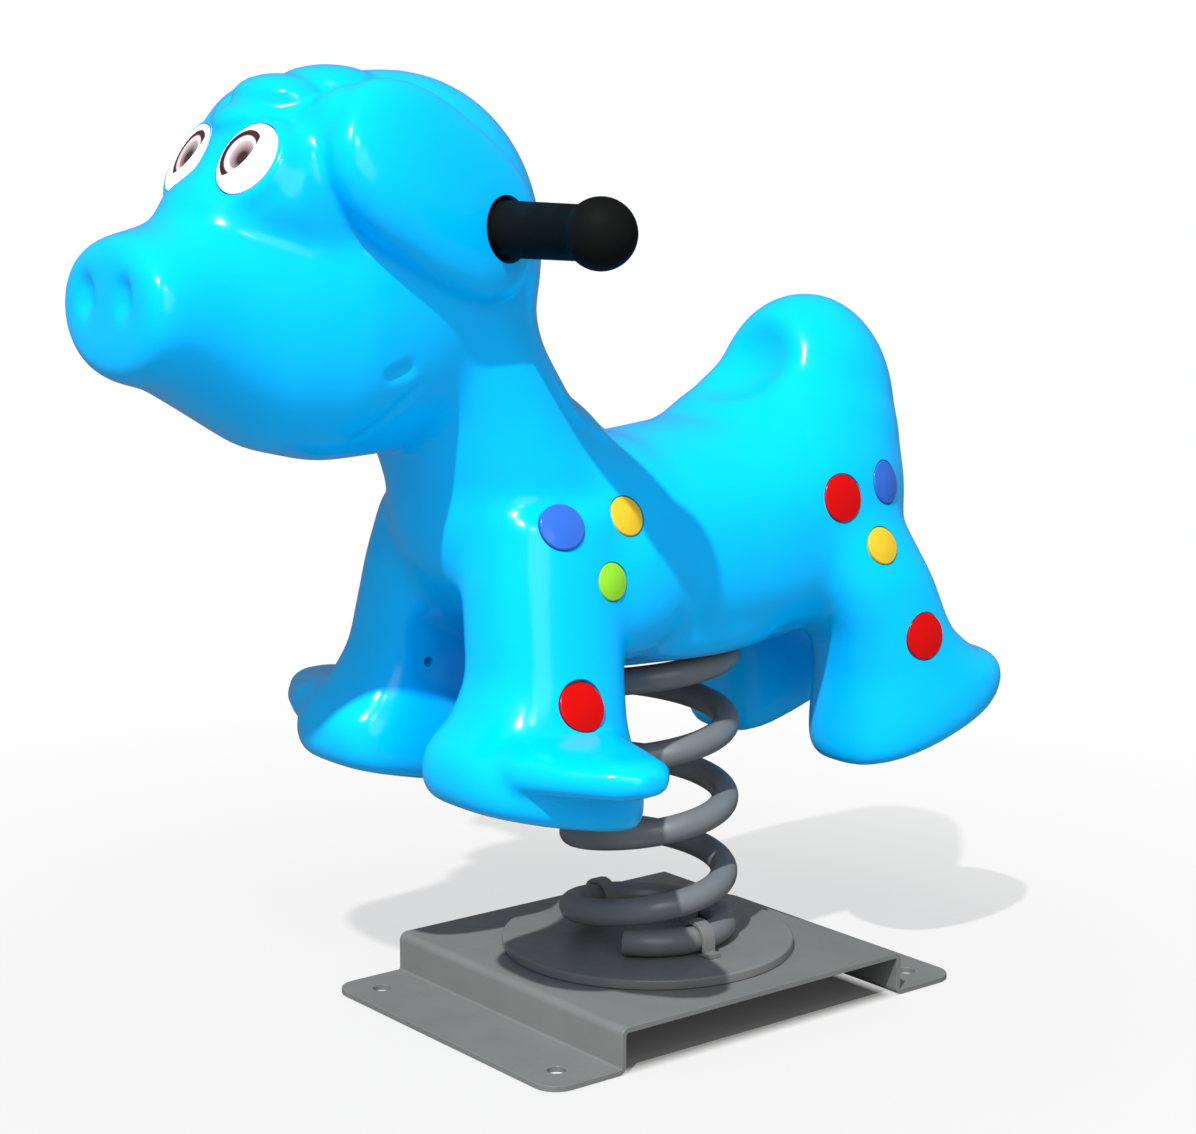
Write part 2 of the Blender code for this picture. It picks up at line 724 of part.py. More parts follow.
def smooth_ramp(t):
    """The integral from 0 of an eased step that reaches 1 at t = 1."""
    if t <= 0.0:
        return 0.0
    if t >= 1.0:
        return t - 0.5
    return t ** 3 - t ** 4 / 2.0


def coil_height(turn):
    """Height of the bar's centre after so many turns: flat, then a steady climb, then flat."""
    climb_start = CLOSED_TURN - EASING_TURN * 0.1
    last = COIL_START_TURN + COIL_TURNS
    climb_end = last - CLOSED_TURN
    rise = smooth_ramp((turn - climb_start) / EASING_TURN)
    rise -= smooth_ramp((turn - climb_end + EASING_TURN) / EASING_TURN)
    whole = smooth_ramp((last - climb_start) / EASING_TURN)
    whole -= smooth_ramp((last - climb_end + EASING_TURN) / EASING_TURN)
    return COIL_LOW + (COIL_HIGH - COIL_LOW) * rise / whole


def coil_point(turn):
    angle = math.radians(VIEW_ANGLE + 360.0 * turn)
    radius = COIL_DIAMETER / 2.0
    return place(radius * math.cos(angle), radius * math.sin(angle), coil_height(turn))


def turn_at(angle, last=False):
    """The first or last turn at which the bar passes a compass angle."""
    turn = (angle - VIEW_ANGLE) / 360.0 % 1.0
    if not last:
        return turn
    end = COIL_START_TURN + COIL_TURNS
    return turn + math.floor(end - turn)


def coil_spring():
    count = round(COIL_TURNS * COIL_POINTS_PER_TURN)
    turns = [COIL_START_TURN + COIL_TURNS * i / count for i in range(count + 1)]
    points = [coil_point(turn) for turn in turns]
    for end, near in ((0, 1), (-1, -2)):
        run = (points[end] - points[near]).normalized()
        run.z = 0.0
        points[end] = points[near] + run * ROD
    least = min(
        (points[i] - points[j]).length
        for i in range(len(points))
        for j in range(i + COIL_POINTS_PER_TURN // 2, len(points))
    )
    print("least gap between turns, mm:", round((least - ROD) * 1000.0, 2))
    curve = bpy.data.curves.new("coil_spring", "CURVE")
    curve.dimensions = "3D"
    curve.bevel_depth = ROD / 2.0
    curve.bevel_resolution = 1
    curve.use_fill_caps = True
    spline = curve.splines.new("POLY")
    spline.points.add(len(points) - 1)
    for target, point in zip(spline.points, points):
        target.co = (*point, 1.0)
    item = bpy.data.objects.new("coil_curve", curve)
    bpy.context.collection.objects.link(item)
    mesh = bpy.data.meshes.new_from_object(item.evaluated_get(bpy.context.evaluated_depsgraph_get()))
    bpy.data.objects.remove(item, do_unlink=True)
    bm = bmesh.new()
    bm.from_mesh(mesh)
    bpy.data.meshes.remove(mesh)
    bmesh.ops.remove_doubles(bm, verts=bm.verts, dist=0.00005)
    bmesh.ops.recalc_face_normals(bm, faces=bm.faces)
    return add_object("coil_spring", bm)


def arc(radius, start, end, steps=8):
    """Points on a circle between two angles in degrees."""
    return [
        (radius * math.cos(math.radians(a)), radius * math.sin(math.radians(a)))
        for a in (start + (end - start) * i / steps for i in range(steps + 1))
    ]


def clip_outline(drop, first_angle):
    """A strap over the bar, seen along it. It starts at an angle and ends in a foot on the plate.

    A first angle of 0 gives the strap a leg and a foot on both sides.
    """
    inner = ROD / 2.0 + CLIP_CLEARANCE
    outer = inner + CLIP_THICKNESS
    foot = [
        (-outer, CLIP_THICKNESS - drop),
        (-outer - CLIP_FOOT, CLIP_THICKNESS - drop),
        (-outer - CLIP_FOOT, -drop),
        (-inner, -drop),
    ]
    outline = arc(outer, first_angle, 180.0) + foot + arc(inner, 180.0, first_angle)
    if first_angle == 0.0:
        outline += [(-x, z) for x, z in reversed(foot)]
    return outline


def spring_clip(name, rest, angle, first_angle, last):
    """A strap, square across the bar, that stands on the plate at a height of rest."""
    centre = coil_point(turn_at(angle, last))
    up = -1.0 if last else 1.0
    outline = clip_outline(abs(centre.z - rest) - GAP, first_angle)
    half = CLIP_WIDTH / 2.0
    matrix = Matrix.Translation(centre) @ Matrix.Rotation(math.radians(angle), 4, "Z")
    bm = bmesh.new()
    loft(bm, [[matrix @ Vector((x, along, z * up)) for x, z in outline] for along in (-half, half)])
    return add_object(name, bm)


def hexagon(across_flats):
    radius = across_flats / math.sqrt(3.0)
    return [(radius * math.cos(a), radius * math.sin(a)) for a in ring_angles(6)]


def mounting_bolt(name, matrix):
    top = UPPER_PLATE_UNDERSIDE - GAP * 2.0 - WASHER_THICKNESS
    shank = bmesh.new()
    solid_disc(shank, BOLT / 2.0, top - HEAD_HEIGHT * 0.5, MOUNT_Z + BOLT_REACH, HARDWARE_SIDES, matrix)
    head = bmesh.new()
    prism(head, hexagon(HEAD_ACROSS_FLATS), top - HEAD_HEIGHT, top, matrix)
    return boolean(add_object(name, shank), add_object("bolt_head", head), "UNION")


def ring_on_bolt(name, matrix, inner, outer, low, high):
    bm = bmesh.new()
    turned(bm, ((inner, low), (outer, low), (outer, high), (inner, high)), HARDWARE_SIDES, matrix)
    return add_object(name, bm)


def mount_hardware():
    """A bolt, a washer and a threaded insert at each corner of the square pattern."""
    made = []
    washer_low = UPPER_PLATE_UNDERSIDE - GAP - WASHER_THICKNESS
    bore = BOLT / 2.0 + GAP
    for number, matrix in enumerate(bolt_places(), 1):
        washer = ring_on_bolt(
            f"mounting_washer_{number}",
            matrix,
            bore,
            WASHER / 2.0,
            washer_low,
            washer_low + WASHER_THICKNESS,
        )
        insert = ring_on_bolt(
            f"threaded_insert_{number}",
            matrix,
            bore,
            INSERT / 2.0,
            MOUNT_Z + GAP,
            MOUNT_Z + INSERT_LENGTH,
        )
        made.append((mounting_bolt(f"mounting_bolt_{number}", matrix), "zinc_steel"))
        made.append((washer, "zinc_steel"))
        made.append((insert, "insert_brass"))
    return made


def handlebar_tube():
    bm = bmesh.new()
    outer = HANDLE_TUBE / 2.0
    inner = outer - HANDLE_WALL
    profile = ((inner, -HANDLE_END_X), (outer, -HANDLE_END_X), (outer, HANDLE_END_X), (inner, HANDLE_END_X))
    turned(bm, profile, 24, handle_matrix(1.0))
    return add_object("handlebar_tube", bm)


def handle_grip(name, side):
    """Tapered rubber grip with a collar at the head and a ball at the end."""
    bore = HANDLE_TUBE / 2.0 + GAP
    start = HANDLE_SEAT_X + GAP
    neck = start + COLLAR_THICKNESS
    profile = [
        (0.0, HANDLE_END_X + GAP * 2.0),
        (bore, HANDLE_END_X + GAP * 2.0),
        (bore, start),
        (COLLAR_RADIUS - 0.001, start),
        (COLLAR_RADIUS, start + 0.001),
        (COLLAR_RADIUS, neck - 0.001),
        (COLLAR_RADIUS - 0.001, neck),
        (GRIP_ROOT_RADIUS + 0.001, neck),
        (GRIP_ROOT_RADIUS, neck + 0.001),
    ]
    meet = math.asin(GRIP_TIP_RADIUS / BALL_RADIUS)
    steps = 8
    for step in range(steps):
        angle = math.pi - meet - (math.pi - meet) * step / steps
        profile.append((BALL_RADIUS * math.sin(angle), BALL_X + BALL_RADIUS * math.cos(angle)))
    profile.append((0.0, BALL_X + BALL_RADIUS))
    bm = bmesh.new()
    turned(bm, profile, 24, handle_matrix(side))
    return add_object(name, bm)


def finish(item, finish_name):
    """Give an object its own material and shade its round faces smooth."""
    colour, roughness, metallic = FINISHES[finish_name]
    material = bpy.data.materials.new(item.name + "_" + finish_name)
    material.use_nodes = True
    shader = material.node_tree.nodes["Principled BSDF"]
    linear = [c / 12.92 if c <= 0.04045 else ((c + 0.055) / 1.055) ** 2.4 for c in colour]
    shader.inputs["Base Color"].default_value = (*linear, 1.0)
    shader.inputs["Roughness"].default_value = roughness
    shader.inputs["Metallic"].default_value = metallic
    item.data.materials.clear()
    item.data.materials.append(material)
    item.data.shade_smooth()
    item.data.set_sharp_from_angle(angle=math.radians(35.0))


def build():
    clear_scene()
    masses = body_masses()
    cavity = body_cavity(masses)
    shell = body_details(masses)
    cutters, made = spots_and_eyes(shell)
    finish_shell(shell, cavity, cutters)
    made.append((shell, "blue_plastic"))
    made.append((base_plate(), "grey_paint"))
    made.append((lower_spring_plate(), "grey_paint"))
    made.append((coil_spring(), "spring_paint"))
    for name, angle in CLIPS:
        clip = spring_clip("lower_spring_clip_" + name, LOWER_PLATE_TOP, angle, 0.0, False)
        made.append((clip, "grey_paint"))
    made.append((upper_spring_plate(), "grey_paint"))
    for name, angle in HOOKS:
        hook = spring_clip("upper_spring_hook_" + name, UPPER_PLATE_UNDERSIDE, angle, HOOK_REACH, True)
        made.append((hook, "grey_paint"))
    made += mount_hardware()
    made.append((handlebar_tube(), "tube_steel"))
    made.append((handle_grip("handle_grip_left", 1.0), "grip_rubber"))
    made.append((handle_grip("handle_grip_right", -1.0), "grip_rubber"))
    for item, finish_name in made:
        finish(item, finish_name)


build()
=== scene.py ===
"""Spring rider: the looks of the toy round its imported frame, with one operator for each piece.

Metres. +X is the animal's left side, -Y its nose and +Z up. The ground is z = 0.
"""

import math

import bpy
import numpy as np
from mathutils import Matrix, Vector


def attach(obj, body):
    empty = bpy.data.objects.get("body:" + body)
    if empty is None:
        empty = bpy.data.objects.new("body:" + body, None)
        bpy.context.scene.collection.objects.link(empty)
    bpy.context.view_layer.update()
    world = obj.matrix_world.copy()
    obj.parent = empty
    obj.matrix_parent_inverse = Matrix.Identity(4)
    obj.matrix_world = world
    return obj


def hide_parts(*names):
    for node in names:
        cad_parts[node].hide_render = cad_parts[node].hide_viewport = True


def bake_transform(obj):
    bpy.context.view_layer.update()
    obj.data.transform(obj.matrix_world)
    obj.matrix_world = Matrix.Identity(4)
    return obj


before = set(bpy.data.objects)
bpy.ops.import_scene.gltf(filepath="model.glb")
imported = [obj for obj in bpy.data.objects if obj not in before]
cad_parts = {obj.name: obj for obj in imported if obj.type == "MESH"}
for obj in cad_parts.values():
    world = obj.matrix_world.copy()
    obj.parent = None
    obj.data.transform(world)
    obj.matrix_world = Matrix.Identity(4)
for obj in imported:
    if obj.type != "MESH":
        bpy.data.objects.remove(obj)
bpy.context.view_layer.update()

bl_info = {
    "name": "Spring rider",
    "version": (1, 0, 0),
    "blender": (4, 5, 0),
    "location": "View3D > Sidebar > Spring rider",
    "description": "Builds a moulded spring rider round its packed frame",
    "category": "Object",
}

# Where the spring stands along the toy's length
SPRING_Y = 0.0932
SIDES = ((1.0, "left"), (-1.0, "right"))
# Signs of x for a form that is made on both sides
MIRRORED = (-1.0, 1.0)

# Forms of the moulded body, from the spring's axis
# Barrel rings along the back: y, z, half width, half height
BARREL = (
    (-0.215, 0.425, 0.030, 0.040),
    (-0.200, 0.423, 0.062, 0.072),
    (-0.165, 0.415, 0.088, 0.096),
    (-0.110, 0.392, 0.104, 0.100),
    (-0.040, 0.376, 0.110, 0.095),
    (0.040, 0.3805, 0.112, 0.0985),
    (0.110, 0.396, 0.113, 0.106),
    (0.165, 0.404, 0.107, 0.102),
    (0.210, 0.410, 0.084, 0.082),
    (0.234, 0.412, 0.045, 0.045),
)
# Neck rings upward: z, y, half width, half depth
NECK = (
    (0.400, -0.140, 0.096, 0.090),
    (0.440, -0.150, 0.094, 0.088),
    (0.490, -0.178, 0.088, 0.080),
    (0.550, -0.212, 0.085, 0.075),
    (0.610, -0.240, 0.088, 0.085),
)
# Snout and jaw rings backward: y, z, half width, half height
SNOUT = (
    (-0.491, 0.586, 0.065, 0.042),
    (-0.482, 0.586, 0.073, 0.051),
    (-0.456, 0.586, 0.074, 0.057),
    (-0.425, 0.581, 0.076, 0.071),
    (-0.380, 0.573, 0.086, 0.091),
    (-0.330, 0.571, 0.095, 0.101),
    (-0.275, 0.580, 0.090, 0.108),
    (-0.235, 0.588, 0.084, 0.110),
)
# Front leg rings downward: z, x, y, half width, half depth, slope of the ring along y
FRONT_LEG = (
    (0.430, 0.064, -0.150, 0.043, 0.062, 0.0),
    (0.380, 0.070, -0.160, 0.049, 0.063, 0.0),
    (0.305, 0.086, -0.171, 0.048, 0.059, 0.0),
    (0.270, 0.091, -0.180, 0.054, 0.065, -0.10),
    (0.241, 0.096, -0.188, 0.066, 0.080, -0.20),
    (0.214, 0.096, -0.188, 0.069, 0.083, -0.23),
    (0.198, 0.096, -0.187, 0.063, 0.076, -0.23),
)
# Rear leg rings, the same way
REAR_LEG = (
    (0.410, 0.064, 0.132, 0.046, 0.064, 0.0),
    (0.345, 0.083, 0.162, 0.052, 0.060, 0.0),
    (0.300, 0.090, 0.182, 0.051, 0.056, 0.0),
    (0.270, 0.088, 0.202, 0.056, 0.068, 0.12),
    (0.247, 0.087, 0.218, 0.061, 0.084, 0.26),
    (0.224, 0.086, 0.221, 0.062, 0.087, 0.32),
    (0.208, 0.086, 0.219, 0.055, 0.078, 0.32),
)
# Footrest rings outward: x, y, z, half depth, half thickness
FOOTREST = (
    (0.100, -0.200, 0.250, 0.060, 0.026),
    (0.150, -0.198, 0.251, 0.055, 0.021),
    (0.185, -0.192, 0.250, 0.044, 0.016),
    (0.213, -0.187, 0.250, 0.029, 0.014),
    (0.229, -0.185, 0.250, 0.012, 0.008),
)
# Rounded masses: x, y, z, half sizes, power, lean about x and turn about z in degrees
MASSES = (
    (0.0, 0.130, 0.408, 0.112, 0.106, 0.104, 2.2, 0.0, 0.0),
    (0.0, 0.168, 0.477, 0.077, 0.078, 0.100, 2.0, 0.0, 0.0),
    (0.0, 0.153, 0.452, 0.093, 0.088, 0.080, 2.2, 0.0, 0.0),
    (0.0, 0.094, 0.478, 0.050, 0.078, 0.028, 2.0, 36.0, 0.0),
    (0.0, -0.150, 0.430, 0.094, 0.088, 0.092, 2.1, 0.0, 0.0),
    (0.0, -0.152, 0.405, 0.085, 0.068, 0.062, 2.8, 0.0, 0.0),
    (0.0, -0.260, 0.620, 0.097, 0.125, 0.134, 2.1, 0.0, 0.0),
    (0.0, -0.356, 0.661, 0.084, 0.060, 0.046, 3.0, -30.0, 0.0),
    (0.0, -0.385, 0.640, 0.060, 0.055, 0.046, 2.2, 0.0, 0.0),
    (0.0, -0.336, 0.712, 0.050, 0.052, 0.026, 2.1, 0.0, 0.0),
)
# Masses on both sides: shoulder, temple and the belly's edge over the top coil
PAIRED_MASSES = (
    (0.068, -0.098, 0.368, 0.050, 0.075, 0.066, 2.2, 0.0, 0.0),
    (0.058, -0.288, 0.688, 0.045, 0.082, 0.047, 2.1, -24.0, 10.0),
    (0.073, -0.005, 0.329, 0.025, 0.090, 0.034, 2.4, 0.0, 0.0),
)
EAR = (0.084, -0.272, 0.666, 0.031, 0.098, 0.062, 2.5, -34.0, 10.0)
EAR_TILT = -12.0
TUFTS = (
    (0.0, -0.374, 0.712, 0.036, 0.024, 0.017, 2.0, 0.0, 0.0),
    (0.0, -0.350, 0.732, 0.040, 0.029, 0.017, 2.0, 0.0, 0.0),
    (0.0, -0.308, 0.740, 0.042, 0.036, 0.016, 2.0, 0.0, 0.0),
)
BACKREST_DISH = (0.0, 0.074, 0.538, 0.070, 0.052, 0.046, 2.0, 0.0, 0.0)
# Recess under the chest between the front legs
ARCH = (0.0, -0.190, 0.299, 0.041, 0.088, 0.038, 3.0, -25.0, 0.0)
# Powers of the rings: 2 is an ellipse, more is squarer
BARREL_POWER = 2.35
NECK_POWER = 2.1
SNOUT_POWER = 2.2
LEG_POWER = 2.3
LEG_INNER_POWER = 4.0
FOOTREST_POWER = 2.6

# Nostrils, each pressed in along a short upright run: place across and up, half height of the run, then
# half width and depth of the dent
NOSTRIL_X = 0.027
NOSTRIL_Z = 0.596
NOSTRIL_HALF_HEIGHT = 0.0035
NOSTRIL_REACH = 0.0235
NOSTRIL_DEPTH = 0.0060
# Creases pressed in the left side of the face and mirrored: x, y, z of each point, then half width and depth
CREASES = (
    # Crease from the corner of the mouth along the jaw
    (((0.0850, -0.2850, 0.5285), (0.0785, -0.3000, 0.5160), (0.0720, -0.3130, 0.5040),
      (0.0620, -0.3255, 0.4925)), 0.0085, 0.0022),
    # Dimple at the corner of the mouth
    (((0.0880, -0.3120, 0.5390), (0.0885, -0.2990, 0.5425)), 0.0120, 0.0030),
    # Fold under the eye
    (((0.0720, -0.3835, 0.6235), (0.0755, -0.3750, 0.6210)), 0.0070, 0.0006),
)

# Gap between pieces that sit on one another
GAP = 0.0003
# Corners of a mesh nearer than this are one, and the same for the end caps of a bar
WELD = 0.00001
CAP_WELD = 0.00005
# Corners this near a plate's lowest one belong to its foot
FOOT_REACH = 0.00005
SEAT_CUT = 0.0150

# Round plate under the spring, with a small bevel below and a round edge above, and the plate over it
LOWER_PLATE = 0.245
LOWER_PLATE_THICKNESS = 0.008
LOWER_PLATE_TOP = 0.0453
LOWER_PLATE_BEVEL = 0.0006
LOWER_PLATE_ROUND = 0.002
UPPER_PLATE_UNDERSIDE = 0.3017

# Spring of round bar with closed ends
ROD = 0.0225
COIL_DIAMETER = 0.127
COIL_TURNS = 4.86
CLOSED_TURN = 0.32
EASING_TURN = 0.60
# Share of the easing that lies in the closed turn
EASING_LEAD = 0.1
COIL_START_TURN = -0.05
# Turns are counted from the side toward the camera, at this angle about the spring
VIEW_ANGLE = -38.7
COIL_LOW = LOWER_PLATE_TOP + GAP + ROD / 2.0
COIL_HIGH = UPPER_PLATE_UNDERSIDE - GAP - ROD / 2.0
# Height where the two halves of the spring meet, and a low and a high height given for each half
COIL_MIDDLE = (COIL_LOW + COIL_HIGH) / 2.0
LOWER_BEND = (0.072, 0.160)
UPPER_BEND = (0.187, 0.275)

# Dome of a spot's face
SPOT_DOME = 0.0021

# Eye plates: half sizes, the way the left one faces, dome of the face and rolled rim
EYE_HALF_WIDTH = 0.0278
EYE_HALF_HEIGHT = 0.0275
EYE_STRETCH = EYE_HALF_HEIGHT / EYE_HALF_WIDTH
EYE_FACING = (0.18, -0.85, 0.50)
EYE_DOME = 0.0018
EYE_RIM = 0.0010
# The plates sink into the face, slide up it and turn toward the nose by these
EYE_SINK = 0.0042
EYE_SLIDE = 0.0020
EYE_TURN = 1.5
# The skin round a plate is brought to this far under its rim. The lift is whole out to the first share of
# the plate's radius and gone at the second, and leaves skin beyond the depth before or behind it alone
EYE_LIP = 0.0007
EYE_LIFT_REACH = (1.04, 1.42)
EYE_LIFT_DEPTH = 0.02
# Irises: growth over the frame's, gap round one in its seat, and height of the seat's cutter
IRIS_GROWTH = 1.07
IRIS_GAP = 0.0001
IRIS_SEAT_CUT = 0.0060
# The frame's iris stands over its plate by the first of these, and the print by the second
IRIS_RISE = 0.00044
IRIS_PROUD = 0.00015

# Handlebar: tube, seats in the head, and grips with a collar, a waist and a ball
HANDLE_Y = -0.2265
HANDLE_Z = 0.6400
HANDLE_TUBE = 0.028
HANDLE_SEAT_X = 0.0920
HANDLE_SEAT_END = 0.150
HANDLE_END_X = 0.2090
COLLAR_RADIUS = 0.0235
COLLAR_THICKNESS = 0.0060
COLLAR_CLEARANCE = 0.0008
COLLAR_ROUND = 0.0012
GRIP_ROOT_RADIUS = 0.0205
GRIP_ROOT_ROUND = 0.0020
GRIP_TIP_RADIUS = 0.0195
BALL_X = 0.2150
BALL_RADIUS = 0.0255

# Pocket for the top plate, and the vent hole
POCKET_RADIUS = 0.077
POCKET_LOW = 0.060
POCKET_TOP = 0.308
VENT_RADIUS = 0.004
VENT_PLACE = (-0.086, -0.194, 0.296)
VENT_DEPTH = 0.030

# Camera: place, azimuth, pitch, roll, and lens on a 36 mm sensor across the picture
CAMERA_PLACE = (1.5545, -1.2081, 0.7024)
CAMERA_AZIMUTH = 51.29
CAMERA_PITCH = 9.66
CAMERA_ROLL = 0.27
CAMERA_LENS = 75.35
SENSOR = 36.0

# Lamps: the key is a sun, and the other two are discs aimed at the middle of the toy
KEY_POWER = 5.0
KEY_DIRECTION = (-0.345, 0.530, -0.775)
KEY_SPREAD = 1.2
LAMP_AIM = (0.0, 0.0, 0.45)
SOFTBOX_POWER = 6.0
SOFTBOX_PLACE = (1.60, -0.93, 1.95)
SOFTBOX_SIZE = 0.30
SIDE_FILL_POWER = 9.0
SIDE_FILL_PLACE = (1.80, -0.75, 1.15)
SIDE_FILL_SIZE = 1.2
# How strongly the surroundings light the toy, shine on it, and show behind it
AIR_LIGHT = 0.62
AIR_SHINE = 0.14
AIR_SEEN = 1.0

# Floor: its size, its drop under the ground, and the distances between which it fades to white
FLOOR_SIZE = 30.0
FLOOR_DROP = 0.0005
FLOOR_FADE = (0.42, 1.25)
# Glow in the open, and the weaker glow that paints shade on the floor under the base; then the half sizes of
# the base between which one turns to the other
FLOOR_GLOW = (0.615, 0.028)
PAINTED_SHADE_UNDER_BASE = (0.138, 0.152)
# Share of the light that it gives back to the toy, plain and mirrored
FLOOR_BOUNCE = 0.34
FLOOR_SHEEN = 0.08


def linear(code):
    """An sRGB hex colour as linear red, green and blue."""
    channels = (int(code[i:i + 2], 16) / 255.0 for i in (0, 2, 4))
    return tuple(c / 12.92 if c <= 0.04045 else ((c + 0.055) / 1.055) ** 2.4 for c in channels)


def length(name, description, default, least=0.0):
    """A size that a user can change."""
    return bpy.props.FloatProperty(
        name=name, description=description, default=default, min=least, unit="LENGTH", precision=5
    )


def colour(name, description, code):
    """A colour that a user can change."""
    return bpy.props.FloatVectorProperty(
        name=name,
        description=description,
        default=linear(code),
        size=3,
        min=0.0,
        max=1.0,
        subtype="COLOR",
    )


class SpringRiderSizes(bpy.types.PropertyGroup):
    """Sizes of the fine forms and of the surface grain."""

    skin_voxel: length("Skin grid", "Grid on which the moulded skin is meshed", 0.0035, 0.001)
    form_blend: length("Form blend", "How far the large forms flow into one another", 0.0185)
    detail_blend: length("Detail blend", "How far ears, tuft and footrests flow into the body", 0.0068)
    seat_clearance: length("Seat clearance", "Gap round each spot and eye in its seat", 0.0009)
    spot_rim: length("Spot rim", "Radius of the rolled rim of a spot", 0.0016)
    peel: length("Mould grain", "Spacing of the soft ripple on the moulded plastic", 0.009)
    powder_peel: length("Paint grain", "Spacing of the ripple of the powder paint", 0.0016)
    edge_round: length("Edge round", "Radius on the edges of the steel pieces", 0.0009)


class SpringRiderColours(bpy.types.PropertyGroup):
    """Colours of the finishes."""

    body: colour("Body", "Moulded plastic of the animal", "00ABF1")
    red: colour("Red spot", "Red spots", "B40606")
    blue: colour("Blue spot", "Blue spots", "2C5CB4")
    yellow: colour("Yellow spot", "Yellow spots", "C9A82A")
    green: colour("Green spot", "Green spots", "80C02E")
    eye_white: colour("Eye white", "White plates of the eyes", "F2F2F2")
    iris: colour("Iris", "Dark paint of the iris", "341F22")
    iris_ring: colour("Iris ring", "Pale ring of the iris", "D9BEC2")
    grip: colour("Grip", "Rubber of the grips", "101111")
    base: colour("Base", "Powder paint of the base", "686A68")
    spring: colour("Spring", "Powder paint of the spring", "626769")
    zinc: colour("Zinc", "Bolts and washers", "A9ABA8")
    brass: colour("Brass", "Threaded inserts", "B99A52")
    tube: colour("Tube", "Steel tube of the handlebar", "9EA0A2")
    paper: colour("Paper", "Studio floor", "737170")
    air: colour("Surroundings", "Light from all round", "F4FAFF")


# Modelling helpers


def sizes():
    return bpy.context.scene.spring_rider_sizes


def colours():
    return bpy.context.scene.spring_rider_colours


def place(x, y, z):
    """A point given from the spring's axis, in the toy's own frame."""
    return Vector((x, y + SPRING_Y, z))


def activate(item):
    """Select one item alone."""
    bpy.ops.object.select_all(action="DESELECT")
    item.select_set(True)
    bpy.context.view_layer.objects.active = item


def new_primitive(operator, **settings):
    """Add a primitive with nothing else selected."""
    bpy.ops.object.select_all(action="DESELECT")
    operator(**settings)
    return bpy.context.object


def face_outward(item):
    """Turn every face of a closed shell outward."""
    activate(item)
    bpy.ops.object.mode_set(mode="EDIT")
    bpy.ops.mesh.select_all(action="SELECT")
    bpy.ops.mesh.normals_make_consistent(inside=False)
    bpy.ops.object.mode_set(mode="OBJECT")


def joined(items, name):
    """Several items as one, under a new name."""
    activate(items[0])
    for item in items:
        item.select_set(True)
    if len(items) > 1:
        bpy.ops.object.join()
    made = bpy.context.object
    made.name = name
    made.data.name = name
    return made


def modify(item, kind, **settings):
    """Add a modifier and apply it."""
    activate(item)
    modifier = item.modifiers.new(kind.lower(), kind)
    for key, value in settings.items():
        setattr(modifier, key, value)
    bpy.ops.object.modifier_apply(modifier=modifier.name)


def cut(item, cutter):
    """Take a cutter out of an item, and remove the cutter."""
    modify(item, "BOOLEAN", operation="DIFFERENCE", solver="EXACT", object=cutter)
    bpy.data.objects.remove(cutter, do_unlink=True)


def smooth_by_angle(item, degrees=40.0):
    activate(item)
    bpy.ops.object.shade_smooth_by_angle(angle=math.radians(degrees))


def superpoint(angle, half_a, half_b, power):
    """A point on a rounded rectangle between an ellipse and a box."""
    c, s = math.cos(angle), math.sin(angle)
    reach = (abs(c) ** power + abs(s) ** power) ** (-1.0 / power)
    return half_a * reach * c, half_b * reach * s


RING_SIDES = 64


def ringed(point_of, count):
    """A closed skin extruded ring by ring from a filled circle, each ring then brought to its points."""
    item = new_primitive(
        bpy.ops.mesh.primitive_circle_add, vertices=RING_SIDES, radius=1.0, fill_type="NGON"
    )
    bpy.ops.object.mode_set(mode="EDIT")
    bpy.ops.mesh.select_all(action="SELECT")
    for _ in range(count - 1):
        bpy.ops.mesh.extrude_region_move(TRANSFORM_OT_translate={"value": (0.0, 0.0, 1.0)})
    bpy.ops.object.mode_set(mode="OBJECT")
    for vert in item.data.vertices:
        vert.co = point_of(round(vert.co.z), math.atan2(vert.co.y, vert.co.x))
    face_outward(item)
    return item


def along_y(rings, power):
    """A form of upright rings, from nose to tail."""

    def point(index, angle):
        y, z, half_x, half_z = rings[index]
        a, b = superpoint(angle, half_x, half_z, power)
        return place(a, y, z + b)

    return ringed(point, len(rings))


def along_z(rings, power, inner_power, side=1.0):
    """A form of level or sloping rings, squarer toward the toy's middle by its own power."""

    def point(index, angle):
        z, x, y, half_x, half_y, slope = rings[index]
        squareness = inner_power if math.cos(angle) < 0.0 else power
        a, b = superpoint(angle, half_x, half_y, squareness)
        return place(side * (x + a), y + b, z + slope * b)

    return ringed(point, len(rings))


def along_x(rings, power, side):
    """A form of upright rings, outward from the toy's middle."""

    def point(index, angle):
        x, y, z, half_y, half_z = rings[index]
        a, b = superpoint(angle, half_y, half_z, power)
        return place(side * x, y + a, z + b)

    return ringed(point, len(rings))


def mass(form, side=1.0, tilt=0.0):
    """A ball squared a little by its power, that leans about x, tilts about y and turns about z."""
    x, y, z, half_x, half_y, half_z, power, lean, yaw = form
    item = new_primitive(bpy.ops.mesh.primitive_ico_sphere_add, subdivisions=6, radius=1.0)
    turn = Matrix.Rotation(side * math.radians(yaw), 3, "Z")
    turn = turn @ Matrix.Rotation(side * math.radians(tilt), 3, "Y")
    turn = turn @ Matrix.Rotation(math.radians(lean), 3, "X")
    centre = place(side * x, y, z)
    for vert in item.data.vertices:
        p = vert.co
        reach = (abs(p.x) ** power + abs(p.y) ** power + abs(p.z) ** power) ** (-1.0 / power)
        vert.co = centre + turn @ (Vector((p.x * half_x, p.y * half_y, p.z * half_z)) * reach)
    return item


